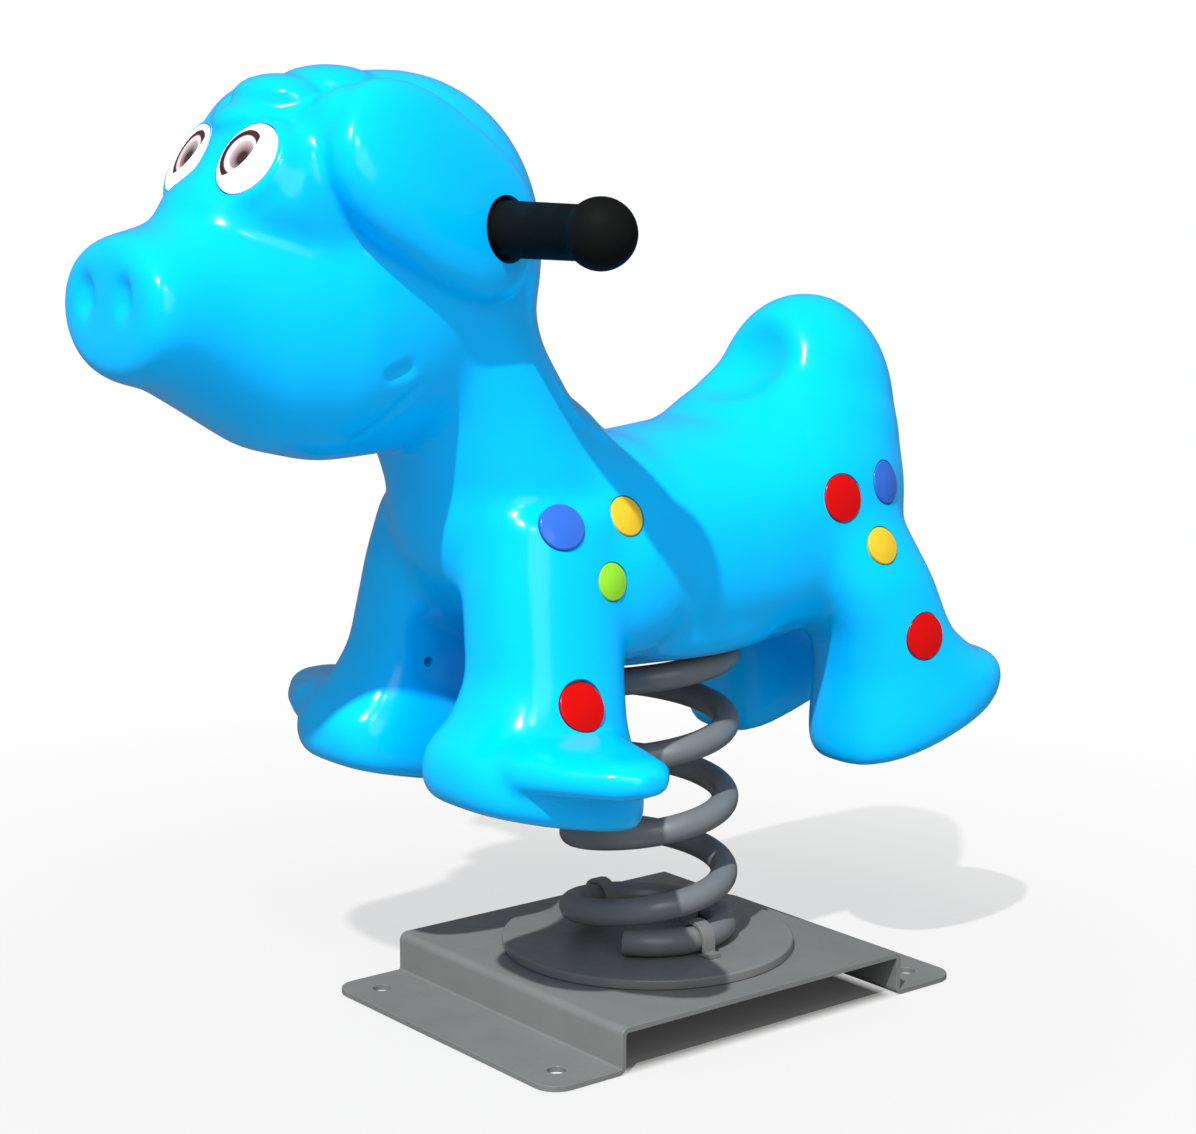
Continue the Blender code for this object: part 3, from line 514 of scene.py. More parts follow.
def spun(name, profile, sides, matrix=None, stretch=1.0):
    """A profile of (radius, height) points, extruded from one point and spun about z."""
    item = new_primitive(bpy.ops.mesh.primitive_plane_add, size=0.01)
    bpy.ops.object.mode_set(mode="EDIT")
    bpy.ops.mesh.select_all(action="SELECT")
    bpy.ops.mesh.merge(type="CENTER")
    bpy.ops.transform.translate(value=(profile[0][0], 0.0, profile[0][1]))
    for (r0, z0), (r1, z1) in zip(profile, profile[1:]):
        bpy.ops.mesh.extrude_vertices_move(TRANSFORM_OT_translate={"value": (r1 - r0, 0.0, z1 - z0)})
    bpy.ops.mesh.select_all(action="SELECT")
    bpy.ops.mesh.spin(steps=sides, angle=2.0 * math.pi, center=(0.0, 0.0, 0.0), axis=(0.0, 0.0, 1.0))
    bpy.ops.mesh.select_all(action="SELECT")
    bpy.ops.mesh.remove_doubles(threshold=WELD)
    bpy.ops.object.mode_set(mode="OBJECT")
    move = (matrix or Matrix.Identity(4)) @ Matrix.Diagonal((1.0, stretch, 1.0, 1.0))
    item.data.transform(move)
    item.name = name
    item.data.name = name
    face_outward(item)
    return item


def arc(radius, height, curve, first, last, steps):
    """Points of a profile along an arc about (radius, height), from one angle in degrees to another."""
    angles = (math.radians(first + (last - first) * step / steps) for step in range(steps + 1))
    return [(radius + curve * math.cos(angle), height + curve * math.sin(angle)) for angle in angles]


def plug(radius, low, high):
    """Profile of a plain cylinder, to cut a seat or a hole with."""
    return (0.0, low), (radius, low), (radius, high), (0.0, high)


def rolled_plate(radius, high, dome, rim):
    """Profile of a plate with a rolled rim and a softly domed face."""
    steps = 6
    inner = radius - rim
    points = [(0.0, 0.0), (radius, 0.0), *arc(inner, high - dome - rim, rim, 0.0, 90.0, steps)]
    for step in range(1, steps + 1):
        r = inner * (1.0 - step / steps)
        points.append((r, high - dome * (r / inner) ** 2))
    return points


def unique_points(node):
    """The corners of a frame node, each once."""
    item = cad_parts[node]
    points = np.empty(len(item.data.vertices) * 3, np.float32)
    item.data.vertices.foreach_get("co", points)
    return np.unique(np.round(points.reshape(-1, 3).astype(float), 6), axis=0)


def seat_of(node, facing=None):
    """Where a plate of the frame sits: its placing matrix at the plate's foot, its radius and its height."""
    points = unique_points(node)
    if facing is None:
        spread = points - points.mean(axis=0)
        facing = np.linalg.svd(spread, full_matrices=False)[2][-1]
        if facing[0] * points[:, 0].mean() < 0.0:
            facing = -facing
    facing = np.array(facing) / np.linalg.norm(facing)
    height = points @ facing
    foot = points[height < height.min() + FOOT_REACH]
    centre = foot.mean(axis=0)
    radius = np.linalg.norm(foot - centre, axis=1).max()
    z = Vector(facing)
    x = Vector((0.0, 0.0, 1.0)).cross(z).normalized()
    matrix = Matrix((x, z.cross(x), z)).transposed().to_4x4()
    return Matrix.Translation(Vector(centre)) @ matrix, float(radius), float(height.max() - height.min())


def blend_passes(reach, voxel):
    """Smoothing passes that spread a corner over a reach on a grid of that size."""
    return max(1, round(2.0 * (reach / voxel) ** 2))


# Materials


def add_node(tree, kind, inputs=None, **settings):
    """Add a shader node, set its options, and set or link its inputs."""
    node = tree.nodes.new("ShaderNode" + kind)
    for key, value in settings.items():
        setattr(node, key, value)
    for key, value in (inputs or {}).items():
        if isinstance(value, bpy.types.NodeSocket):
            tree.links.new(value, node.inputs[key])
        else:
            node.inputs[key].default_value = value
    return node


def new_material(name):
    material = bpy.data.materials.new(name)
    material.use_nodes = True
    tree = material.node_tree
    tree.nodes.clear()
    return material, tree


def grain(tree, size, detail):
    """Soft noise in the object's own coordinates, its features of a real size in metres."""
    coordinates = add_node(tree, "TexCoord").outputs["Object"]
    return add_node(
        tree,
        "TexNoise",
        {"Vector": coordinates, "Scale": 1.0 / size, "Detail": detail, "Roughness": 0.5},
    ).outputs["Fac"]


def patches(tree, size, detail, low=0.0, high=1.0, contrast=(0.35, 0.65)):
    """A level that drifts from low to high over soft patches of a real size in metres."""
    start, end = contrast
    return add_node(
        tree,
        "MapRange",
        {
            "Value": grain(tree, size, detail),
            "From Min": start,
            "From Max": end,
            "To Min": low,
            "To Max": high,
        },
    ).outputs["Result"]


def ripple(tree, size, detail, depth, strength, beneath=None):
    """Relief of a real spacing and depth in metres, laid over another relief where there is one."""
    inputs = {"Height": grain(tree, size, detail), "Distance": depth, "Strength": strength}
    if beneath is not None:
        inputs["Normal"] = beneath
    return add_node(tree, "Bump", inputs).outputs["Normal"]


# Sockets of a Mix node set to colours, whose names repeat
MIX_UNDER = 6
MIX_OVER = 7
MIX_RESULT = 2


def shaded(tree, base, level, depth):
    """The base colour, darker by a share where the level is low."""
    dark = tuple(c * (1.0 - depth) for c in base)
    return add_node(
        tree,
        "Mix",
        {"Factor": level, MIX_UNDER: (*dark, 1.0), MIX_OVER: (*base, 1.0)},
        data_type="RGBA",
    ).outputs[MIX_RESULT]


def surface(tree, tint, roughness, relief, levels):
    """Bring colour, roughness, relief and other named levels together as the finish."""
    inputs = {"Base Color": tint, "Roughness": roughness, "Normal": relief, **levels}
    shader = add_node(tree, "BsdfPrincipled", inputs).outputs["BSDF"]
    add_node(tree, "OutputMaterial", {"Surface": shader})


def moulded_plastic(name, base, spacing):
    """Polyethylene with its pigment in it: a soft ripple from the mould, faint swirls and an even gloss.

    The finest ripple is drawn at about a millimetre, coarser than the real grain, so that it shows. The
    specular level is under the real plastic's, and was matched to the photograph.
    """
    material, tree = new_material(name)
    tint = shaded(tree, base, patches(tree, size=0.07, detail=3.0), depth=0.035)
    haze = patches(tree, size=0.018, detail=4.0, low=0.14, high=0.19)
    mould = ripple(tree, size=spacing, detail=1.0, depth=0.00006, strength=0.6)
    skin = ripple(tree, size=0.0011, detail=1.0, depth=0.000006, strength=0.5, beneath=mould)
    surface(tree, tint, haze, skin, {"Specular IOR Level": 0.22})
    return material


def satin_rubber(name, base):
    """Injection-moulded rubber: a fine pebble that breaks up the shine, with glossier patches."""
    material, tree = new_material(name)
    coordinates = add_node(tree, "TexCoord").outputs["Object"]
    # The pebble of a real grip is finer, and is drawn this coarse so that it shows
    spacing = 0.0011
    pebble = add_node(
        tree, "TexVoronoi", {"Vector": coordinates, "Scale": 1.0 / spacing}, feature="SMOOTH_F1"
    ).outputs["Distance"]
    relief = add_node(tree, "Bump", {"Height": pebble, "Distance": 0.00005, "Strength": 0.5})
    tint = shaded(tree, base, patches(tree, size=0.02, detail=3.0), depth=0.12)
    wear = patches(tree, size=0.03, detail=3.0, low=0.46, high=0.58)
    # Real rubber's IOR is about 1.5. These two levels were matched to the dull black in the photograph
    surface(tree, tint, wear, relief.outputs["Normal"], {"IOR": 1.12, "Specular IOR Level": 0.25})
    return material


def powder_paint(name, base, peel, gloss):
    """Grey powder paint on steel: orange peel, dusty mottling and a low shine."""
    material, tree = new_material(name)
    tint = shaded(tree, base, patches(tree, size=0.05, detail=5.0, contrast=(0.3, 0.7)), depth=0.10)
    rough = patches(tree, size=0.012, detail=4.0, low=gloss - 0.04, high=gloss + 0.06)
    coarse = ripple(tree, size=peel * 4.0, detail=2.0, depth=0.00003, strength=0.5)
    fine = ripple(tree, size=peel, detail=2.0, depth=0.000012, strength=0.7, beneath=coarse)
    surface(tree, tint, rough, fine, {"Specular IOR Level": 0.5})
    return material


def bare_metal(name, base, spangle, rough):
    """Plated, turned or drawn metal: small grains of differing shine, and fine marks from the tools.

    Real grains are finer, and are drawn as coarse as they need to be to show.
    """
    material, tree = new_material(name)
    coordinates = add_node(tree, "TexCoord").outputs["Object"]
    crystal = add_node(tree, "TexVoronoi", {"Vector": coordinates, "Scale": 1.0 / spangle}).outputs["Color"]
    level = add_node(tree, "RGBToBW", {"Color": crystal}).outputs["Val"]
    shine = add_node(tree, "MapRange", {"Value": level, "To Min": rough - 0.06, "To Max": rough + 0.08})
    marks = ripple(tree, size=0.0009, detail=3.0, depth=0.00001, strength=0.6)
    surface(tree, shaded(tree, base, level, depth=0.18), shine.outputs["Result"], marks, {"Metallic": 1.0})
    return material


def eye_gloss(name, base):
    """Hard white plastic with a polished face and the faintest flow marks."""
    material, tree = new_material(name)
    tint = shaded(tree, base, patches(tree, size=0.012, detail=2.0), depth=0.02)
    flow = ripple(tree, size=0.006, detail=1.0, depth=0.00001, strength=0.4)
    surface(tree, tint, 0.12, flow, {"Specular IOR Level": 0.5})
    return material


def painted_iris(name, dark, ring, white):
    """Printed iris: a dark rim, a pale ring, and a pupil that fades to one side, cut off by the white."""
    material, tree = new_material(name)
    disc = add_node(tree, "UVMap", uv_map="iris").outputs["UV"]

    def edge(centre, start, end, low=0.0):
        """A level from low to 1 as the distance from a point goes from start to end, in the disc's radii."""
        away = add_node(tree, "VectorMath", {0: disc, 1: (*centre, 0.0)}, operation="DISTANCE")
        return add_node(
            tree,
            "MapRange",
            {"Value": away.outputs["Value"], "From Min": start, "From Max": end, "To Min": low},
        ).outputs["Result"]

    # The pupil sits a little beside the middle and is darkest on that side
    middle = (0.0, 0.0)
    pupil = edge((0.10, -0.02), 0.61, 0.53)
    depth = edge((0.24, -0.16), 0.80, 0.22, low=0.25)
    core = add_node(tree, "Math", {0: pupil, 1: depth}, operation="MULTIPLY").outputs[0]
    rim = edge(middle, 0.725, 0.775)
    outside = edge(middle, 0.97, 0.995)
    cut_off = edge((-0.77, 0.61), 1.44, 1.48)
    paint = (*ring, 1.0)
    for cover, ink in ((core, dark), (rim, dark), (outside, white), (cut_off, white)):
        paint = add_node(
            tree,
            "Mix",
            {"Factor": cover, MIX_UNDER: paint, MIX_OVER: (*ink, 1.0)},
            data_type="RGBA",
        ).outputs[MIX_RESULT]
    flow = ripple(tree, size=0.004, detail=1.0, depth=0.00001, strength=0.4)
    surface(tree, paint, 0.12, flow, {"Specular IOR Level": 0.5})
    return material


def dress(item, material):
    """Give an item its one material."""
    item.data.materials.clear()
    item.data.materials.append(material)


def plastic(colour_name):
    """One plastic for each colour, made once."""
    name = f"Moulded polyethylene, {colour_name}"
    found = bpy.data.materials.get(name)
    return found or moulded_plastic(name, tuple(getattr(colours(), colour_name)), sizes().peel)


# Pieces


def press(item, path, half_width, depth, side):
    """Push a soft crease into the skin along a run of points."""
    points = [place(side * x, y, z) for x, y, z in path]
    normals = [vert.normal.copy() for vert in item.data.vertices]
    for vert, normal in zip(item.data.vertices, normals):
        near = 1.0
        for a, b in zip(points, points[1:]):
            run = b - a
            t = min(1.0, max(0.0, (vert.co - a).dot(run) / run.length_squared))
            near = min(near, (vert.co - (a + run * t)).length)
        if near < half_width:
            vert.co -= normal * depth * (0.5 + 0.5 * math.cos(math.pi * near / half_width)) ** 2


def fused(parts, name, voxel, blend):
    """Overlapping closed forms as one skin, its inner corners spread over the blend."""
    item = joined(parts, name)
    modify(item, "REMESH", mode="VOXEL", voxel_size=voxel)
    modify(item, "SMOOTH", factor=0.5, iterations=blend_passes(blend, voxel))
    return item


def body_form(voxel):
    """The moulded body with its ears, tuft and footrests, before any seat is cut in it."""
    parts = [
        along_y(BARREL, BARREL_POWER),
        along_z([(z, 0.0, y, a, b, 0.0) for z, y, a, b in NECK], NECK_POWER, NECK_POWER),
        along_y(SNOUT, SNOUT_POWER),
    ]
    for side in MIRRORED:
        parts.append(along_z(FRONT_LEG, LEG_POWER, LEG_INNER_POWER, side))
        parts.append(along_z(REAR_LEG, LEG_POWER, LEG_INNER_POWER, side))
        parts += [mass(form, side) for form in PAIRED_MASSES]
    parts += [mass(form) for form in MASSES]
    item = joined(parts, "body_form")
    modify(item, "REMESH", mode="VOXEL", voxel_size=voxel)
    cut(item, mass(BACKREST_DISH))
    item = fused([item], "body_form", voxel, sizes().form_blend)
    cut(item, mass(ARCH))
    parts = [item]
    for side in MIRRORED:
        parts.append(mass(EAR, side, EAR_TILT))
        parts.append(along_x(FOOTREST, FOOTREST_POWER, side))
    parts += [mass(form) for form in TUFTS]
    item = fused(parts, "animal_skin", voxel, sizes().detail_blend)
    heights = (NOSTRIL_Z + NOSTRIL_HALF_HEIGHT, NOSTRIL_Z - NOSTRIL_HALF_HEIGHT)
    nostril = tuple((NOSTRIL_X, SNOUT[0][0], z) for z in heights)
    for path, half_width, depth in (*CREASES, (nostril, NOSTRIL_REACH, NOSTRIL_DEPTH)):
        for side in MIRRORED:
            press(item, path, half_width, depth, side)
    return item


def handle_matrix(side):
    """Sideways along the handlebar, outward from the middle of the head."""
    turn = Matrix.Rotation(side * math.radians(90.0), 4, "Y")
    return Matrix.Translation(place(0.0, HANDLE_Y, HANDLE_Z)) @ turn


def spot_names():
    return [name for name in sorted(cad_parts) if name.startswith("spot_")]


def eye_facing(side):
    return (side * EYE_FACING[0], EYE_FACING[1], EYE_FACING[2])


def settled(matrix, side):
    """An eye plate's matrix, slid up the face, sunk into it and turned toward the nose."""
    moved = matrix @ Matrix.Translation((0.0, EYE_SLIDE, -EYE_SINK))
    return moved @ Matrix.Rotation(math.radians(-side * EYE_TURN), 4, "Y")


def eye_seat(side, side_name):
    """Placing matrix, radius and height of an eye plate."""
    matrix, radius, height = seat_of("eye_white_" + side_name, eye_facing(side))
    return settled(matrix, side), radius, height


def iris_seat(side, side_name):
    """Placing matrix, radius and height of an iris, which goes where its plate goes."""
    plate = seat_of("eye_white_" + side_name, eye_facing(side))[0]
    matrix, radius, height = seat_of("iris_" + side_name, eye_facing(side))
    return settled(plate, side) @ plate.inverted() @ matrix, radius * IRIS_GROWTH, height


def lift_round_eye(item, side, side_name):
    """Bring the skin to the edge of an eye plate, and let it ease away a little outside."""
    matrix, radius, height = eye_seat(side, side_name)
    back = matrix.inverted()
    outward = matrix.to_3x3() @ Vector((0.0, 0.0, 1.0))
    level = height - EYE_DOME - EYE_LIP
    start, end = EYE_LIFT_REACH
    normals = [vert.normal.copy() for vert in item.data.vertices]
    for vert, normal in zip(item.data.vertices, normals):
        point = back @ vert.co
        reach = math.hypot(point.x, point.y / EYE_STRETCH) / radius
        if reach < end and abs(point.z - level) < EYE_LIFT_DEPTH and normal.dot(outward) > 0.0:
            ease = min(1.0, (end - reach) / (end - start))
            point.z += (level - point.z) * ease * ease * (3.0 - 2.0 * ease)
            vert.co = matrix @ point


class SPRINGRIDER_OT_skin(bpy.types.Operator):
    """Build the moulded skin with its seats, pocket, nostrils and vent"""

    bl_idname = "springrider.skin"
    bl_label = "Moulded skin"

    def execute(self, context):
        size = sizes()
        item = body_form(size.skin_voxel)
        for side, side_name in SIDES:
            lift_round_eye(item, side, side_name)
        seats = [(*eye_seat(side, side_name)[:2], EYE_STRETCH) for side, side_name in SIDES]
        seats += [(*seat_of(name)[:2], 1.0) for name in spot_names()]
        cutters = []
        for matrix, radius, stretch in seats:
            seat = plug(radius + size.seat_clearance, 0.0, SEAT_CUT)
            cutters.append(spun("seat", seat, 96, matrix, stretch))
        seat = plug(COLLAR_RADIUS + COLLAR_CLEARANCE, HANDLE_SEAT_X, HANDLE_SEAT_END)
        cutters += [spun("seat", seat, 96, handle_matrix(side)) for side in MIRRORED]
        pocket = plug(POCKET_RADIUS, POCKET_LOW, POCKET_TOP)
        cutters.append(spun("pocket", pocket, 128, Matrix.Translation(place(0.0, 0.0, 0.0))))
        vent = plug(VENT_RADIUS, 0.0, 2.0 * VENT_DEPTH)
        turn = Matrix.Translation(place(*VENT_PLACE)) @ Matrix.Rotation(math.radians(90.0), 4, "Y")
        cutters.append(spun("vent", vent, 32, turn))
        cut(item, joined(cutters, "seats"))
        smooth_by_angle(item, 35.0)
        dress(item, plastic("body"))
        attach(item, "rider")
        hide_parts("animal_shell")
        return {"FINISHED"}


class SPRINGRIDER_OT_spots(bpy.types.Operator):
    """Build the coloured spots, each a pill with a rolled rim"""

    bl_idname = "springrider.spots"
    bl_label = "Coloured spots"

    def execute(self, context):
        for name in spot_names():
            matrix, radius, height = seat_of(name)
            profile = rolled_plate(radius, height, SPOT_DOME, sizes().spot_rim)
            item = spun(name.replace("spot_", "pill_"), profile, 72, matrix)
            smooth_by_angle(item, 50.0)
            colour_name = name.split("_")[2]
            dress(item, plastic(colour_name))
            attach(item, "rider")
            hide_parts(name)
        return {"FINISHED"}


def eye_plate(side, side_name):
    """A white plate with a rolled rim, and a seat for its iris."""
    matrix, radius, height = eye_seat(side, side_name)
    profile = rolled_plate(radius, height, EYE_DOME, EYE_RIM)
    eye = spun("eye_plate_" + side_name, profile, 96, matrix, EYE_STRETCH)
    iris_matrix, iris_radius, _ = iris_seat(side, side_name)
    seat = plug(iris_radius + IRIS_GAP, -IRIS_GAP, IRIS_SEAT_CUT)
    cut(eye, spun("iris_seat", seat, 96, iris_matrix))
    smooth_by_angle(eye, 40.0)
    return eye


def iris_print(side, side_name):
    """A thin disc that follows the dome of its plate, with its own flat map for the print."""
    matrix, radius, height = iris_seat(side, side_name)
    top = height - IRIS_RISE + IRIS_PROUD
    steps = 16
    profile = [(0.0, 0.0), (radius, 0.0), (radius, top - IRIS_GAP)]
    profile += [((radius - IRIS_GAP) * (1.0 - step / steps), top) for step in range(steps + 1)]
    iris = spun("iris_print_" + side_name, profile, 96, matrix)
    plate_matrix, plate_radius, _ = eye_seat(side, side_name)
    to_plate = plate_matrix.inverted()
    for vert in iris.data.vertices:
        point = to_plate @ vert.co
        out = (point.x ** 2 + (point.y / EYE_STRETCH) ** 2) / (plate_radius - EYE_RIM) ** 2
        point.z -= EYE_DOME * out
        vert.co = plate_matrix @ point
    smooth_by_angle(iris, 40.0)
    layer = iris.data.uv_layers.new(name="iris")
    to_disc = matrix.inverted()
    for loop in iris.data.loops:
        point = to_disc @ iris.data.vertices[loop.vertex_index].co
        layer.data[loop.index].uv = (point.x / radius, point.y / radius)
    return iris


class SPRINGRIDER_OT_eyes(bpy.types.Operator):
    """Build the white eye plates and their painted irises"""

    bl_idname = "springrider.eyes"
    bl_label = "Eyes"

    def execute(self, context):
        shades = colours()
        white = eye_gloss("Polished white plastic, eye plates", tuple(shades.eye_white))
        ink = painted_iris(
            "Printed iris under clear lacquer",
            tuple(shades.iris),
            tuple(shades.iris_ring),
            tuple(shades.eye_white),
        )
        for side, side_name in SIDES:
            eye = eye_plate(side, side_name)
            dress(eye, white)
            iris = iris_print(side, side_name)
            dress(iris, ink)
            for item, node in ((eye, "eye_white_"), (iris, "iris_")):
                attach(item, "rider")
                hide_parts(node + side_name)
        return {"FINISHED"}


def grip_profile():
    """A grip's outline from the end of its bore: collar, waist, sleeve and ball."""
    bore = HANDLE_TUBE / 2.0 + GAP
    bore_end = HANDLE_END_X + 2.0 * GAP
    start = HANDLE_SEAT_X + GAP
    neck = start + COLLAR_THICKNESS
    edge = COLLAR_RADIUS - COLLAR_ROUND
    waist = GRIP_ROOT_RADIUS + GRIP_ROOT_ROUND
    meet = math.degrees(math.asin(GRIP_TIP_RADIUS / BALL_RADIUS))
    return [
        (0.0, bore_end),
        (bore, bore_end),
        (bore, start),
        *arc(edge, start + COLLAR_ROUND, COLLAR_ROUND, -90.0, 0.0, 4),
        *arc(edge, neck - COLLAR_ROUND, COLLAR_ROUND, 0.0, 90.0, 4),
        *arc(waist, neck + GRIP_ROOT_ROUND, GRIP_ROOT_ROUND, 270.0, 180.0, 4),
        *arc(0.0, BALL_X, BALL_RADIUS, meet - 90.0, 90.0, 24),
    ]


class SPRINGRIDER_OT_grips(bpy.types.Operator):
    """Build the two rubber grips, each with a collar, a slim waist and a ball"""

    bl_idname = "springrider.grips"
    bl_label = "Handlebar grips"

    def execute(self, context):
        rubber = satin_rubber("Injection moulded rubber, black", tuple(colours().grip))
        for side, side_name in SIDES:
            item = spun("rubber_grip_" + side_name, grip_profile(), 96, handle_matrix(side))
            smooth_by_angle(item, 40.0)
            dress(item, rubber)
            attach(item, "rider")
            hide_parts("handle_grip_" + side_name)
        return {"FINISHED"}


def smooth_ramp(t):
    """The integral from 0 of an eased step that reaches 1 at t = 1."""
    if t <= 0.0:
        return 0.0
    if t >= 1.0:
        return t - 0.5
    return t ** 3 - t ** 4 / 2.0


def coil_height(turn):
    """Height of the bar's centre after so many turns: flat, then a steady climb, then flat."""
    climb_start = CLOSED_TURN - EASING_TURN * EASING_LEAD
    last = COIL_START_TURN + COIL_TURNS
    climb_end = last - CLOSED_TURN

    def risen(at):
        return smooth_ramp((at - climb_start) / EASING_TURN) - smooth_ramp(
            (at - climb_end + EASING_TURN) / EASING_TURN
        )

    return COIL_LOW + (COIL_HIGH - COIL_LOW) * risen(turn) / risen(last)


def coil_point(turn):
    """Centre of the bar after so many turns."""
    angle = math.radians(VIEW_ANGLE + 360.0 * turn)
    radius = COIL_DIAMETER / 2.0
    return place(radius * math.cos(angle), radius * math.sin(angle), coil_height(turn))


def turn_at(height):
    """The turn at which the climbing bar reaches a height, by halving."""
    low, high = COIL_START_TURN, COIL_START_TURN + COIL_TURNS
    for _ in range(40):
        middle = (low + high) / 2.0
        low, high = (middle, high) if coil_height(middle) < height else (low, middle)
    return (low + high) / 2.0


def bar(name, points):
    """A round bar along a run of points, its ends trimmed square."""
    bpy.ops.object.select_all(action="DESELECT")
    bpy.ops.curve.primitive_nurbs_path_add()
    item = bpy.context.object
    curve = item.data
    curve.splines.clear()
    spline = curve.splines.new("POLY")
    spline.points.add(len(points) - 1)
    for target, point in zip(spline.points, points):
        target.co = (*point, 1.0)
    curve.dimensions = "3D"
    curve.bevel_depth = ROD / 2.0
    curve.bevel_resolution = 10
    curve.use_fill_caps = True
    item.location = (0.0, 0.0, 0.0)
    activate(item)
    bpy.ops.object.convert(target="MESH")
    item = bpy.context.object
    item.name = name
    item.data.name = name
    bpy.ops.object.mode_set(mode="EDIT")
    bpy.ops.mesh.select_all(action="SELECT")
    bpy.ops.mesh.remove_doubles(threshold=CAP_WELD)
    bpy.ops.object.mode_set(mode="OBJECT")
    face_outward(item)
    smooth_by_angle(item, 50.0)
    return item


class SPRINGRIDER_OT_spring(bpy.types.Operator):
    """Build the coil spring in two halves"""

    bl_idname = "springrider.spring"
    bl_label = "Coil spring"

    def execute(self, context):
        grey = tuple(colours().spring)
        paint = powder_paint("Powder paint on spring steel", grey, sizes().powder_peel, gloss=0.34)
        first, last = COIL_START_TURN, COIL_START_TURN + COIL_TURNS
        middle = turn_at(COIL_MIDDLE)
        steps = 200
        halves = (
            ("spring_lower_half", first, middle, "base", "spring", LOWER_BEND),
            ("spring_upper_half", middle, last, "spring", "rider", UPPER_BEND),
        )
        for name, start, end, below, above, (bend_low, bend_high) in halves:
            points = [coil_point(start + (end - start) * i / steps) for i in range(steps + 1)]
            item = bar(name, points)
            dress(item, paint)
            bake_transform(item)
            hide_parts("coil_spring")
        return {"FINISHED"}


def spring_disc():
    """The round plate under the spring, its upper edge turned to a small radius."""
    radius = LOWER_PLATE / 2.0
    low = LOWER_PLATE_TOP - LOWER_PLATE_THICKNESS
    edge = LOWER_PLATE_ROUND
    profile = [
        (0.0, low),
        (radius - LOWER_PLATE_BEVEL, low),
        (radius, low + LOWER_PLATE_BEVEL),
        *arc(radius - edge, LOWER_PLATE_TOP - edge, edge, 0.0, 90.0, 6),
        (0.0, LOWER_PLATE_TOP),
    ]
    disc = spun("spring_disc", profile, 144, Matrix.Translation(place(0.0, 0.0, 0.0)))
    smooth_by_angle(disc, 40.0)
    return disc


def round_edges(item, width):
    """Weld the frame's loose triangles, and give sharp edges a small radius that catches the light."""
    weld = item.modifiers.new("weld", "WELD")
    weld.merge_threshold = WELD
    bevel = item.modifiers.new("round", "BEVEL")
    bevel.width = width
    bevel.segments = 3
    bevel.limit_method = "ANGLE"
    bevel.angle_limit = math.radians(50.0)
    bevel.harden_normals = True
    activate(item)
    bpy.ops.mesh.customdata_custom_splitnormals_clear()
    bpy.ops.object.shade_smooth()


class SPRINGRIDER_OT_steelwork(bpy.types.Operator):
    """Finish the base, the plates, the clips and the mounting hardware"""

    bl_idname = "springrider.steelwork"
    bl_label = "Base and steelwork"

    def execute(self, context):
        size, shades = sizes(), colours()
        grey = tuple(shades.base)
        paint = powder_paint("Powder paint on folded steel", grey, size.powder_peel, gloss=0.36)
        zinc = bare_metal("Zinc plated steel, barrel plated", tuple(shades.zinc), spangle=0.0012, rough=0.34)
        brass = bare_metal("Turned brass", tuple(shades.brass), spangle=0.0008, rough=0.30)
        steel = bare_metal("Drawn steel tube", tuple(shades.tube), spangle=0.0020, rough=0.32)
        disc = spring_disc()
        dress(disc, paint)
        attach(disc, "base")
        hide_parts("lower_spring_plate")
        for name, item in sorted(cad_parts.items()):
            if item.hide_render:
                continue
            if name.startswith(("mounting_bolt", "mounting_washer")):
                dress(item, zinc)
            elif name.startswith("threaded_insert"):
                dress(item, brass)
            elif name == "handlebar_tube":
                dress(item, steel)
            else:
                dress(item, paint)
            round_edges(item, size.edge_round if name == "base_plate" else size.edge_round * 0.5)
        return {"FINISHED"}


def camera_matrix():
    """Where the camera stands and how it is turned, from its azimuth, pitch and roll."""
    azimuth, pitch, roll = (math.radians(a) for a in (CAMERA_AZIMUTH, CAMERA_PITCH, CAMERA_ROLL))
    forward = Vector((
        -math.sin(azimuth) * math.cos(pitch), math.cos(azimuth) * math.cos(pitch), -math.sin(pitch)
    ))
    right = Vector((math.cos(azimuth), math.sin(azimuth), 0.0))
    up = right.cross(forward)
    across = right * math.cos(roll) + up * math.sin(roll)
    upward = up * math.cos(roll) - right * math.sin(roll)
    turn = Matrix((across, upward, -forward)).transposed().to_4x4()
    return Matrix.Translation(Vector(CAMERA_PLACE)) @ turn


def toward(direction):
    """The rotation of a lamp that shines along a direction."""
    return Vector(direction).to_track_quat("-Z", "Y").to_euler()


def lamp(name, kind, energy, direction, location=(0.0, 0.0, 0.0), **settings):
    """Add a lamp that shines along a direction."""
    data = bpy.data.lights.new(name, kind)
    data.energy = energy
    for key, value in settings.items():
        setattr(data, key, value)
    item = bpy.data.objects.new(name, data)
    item.location = location
    item.rotation_euler = toward(direction)
    bpy.context.scene.collection.objects.link(item)


def disc_lamp(name, energy, location, size, **settings):
    """Add a disc-shaped lamp aimed at the middle of the toy."""
    direction = Vector(LAMP_AIM) - Vector(location)
    lamp(name, "AREA", energy, direction, location, shape="DISK", size=size, **settings)


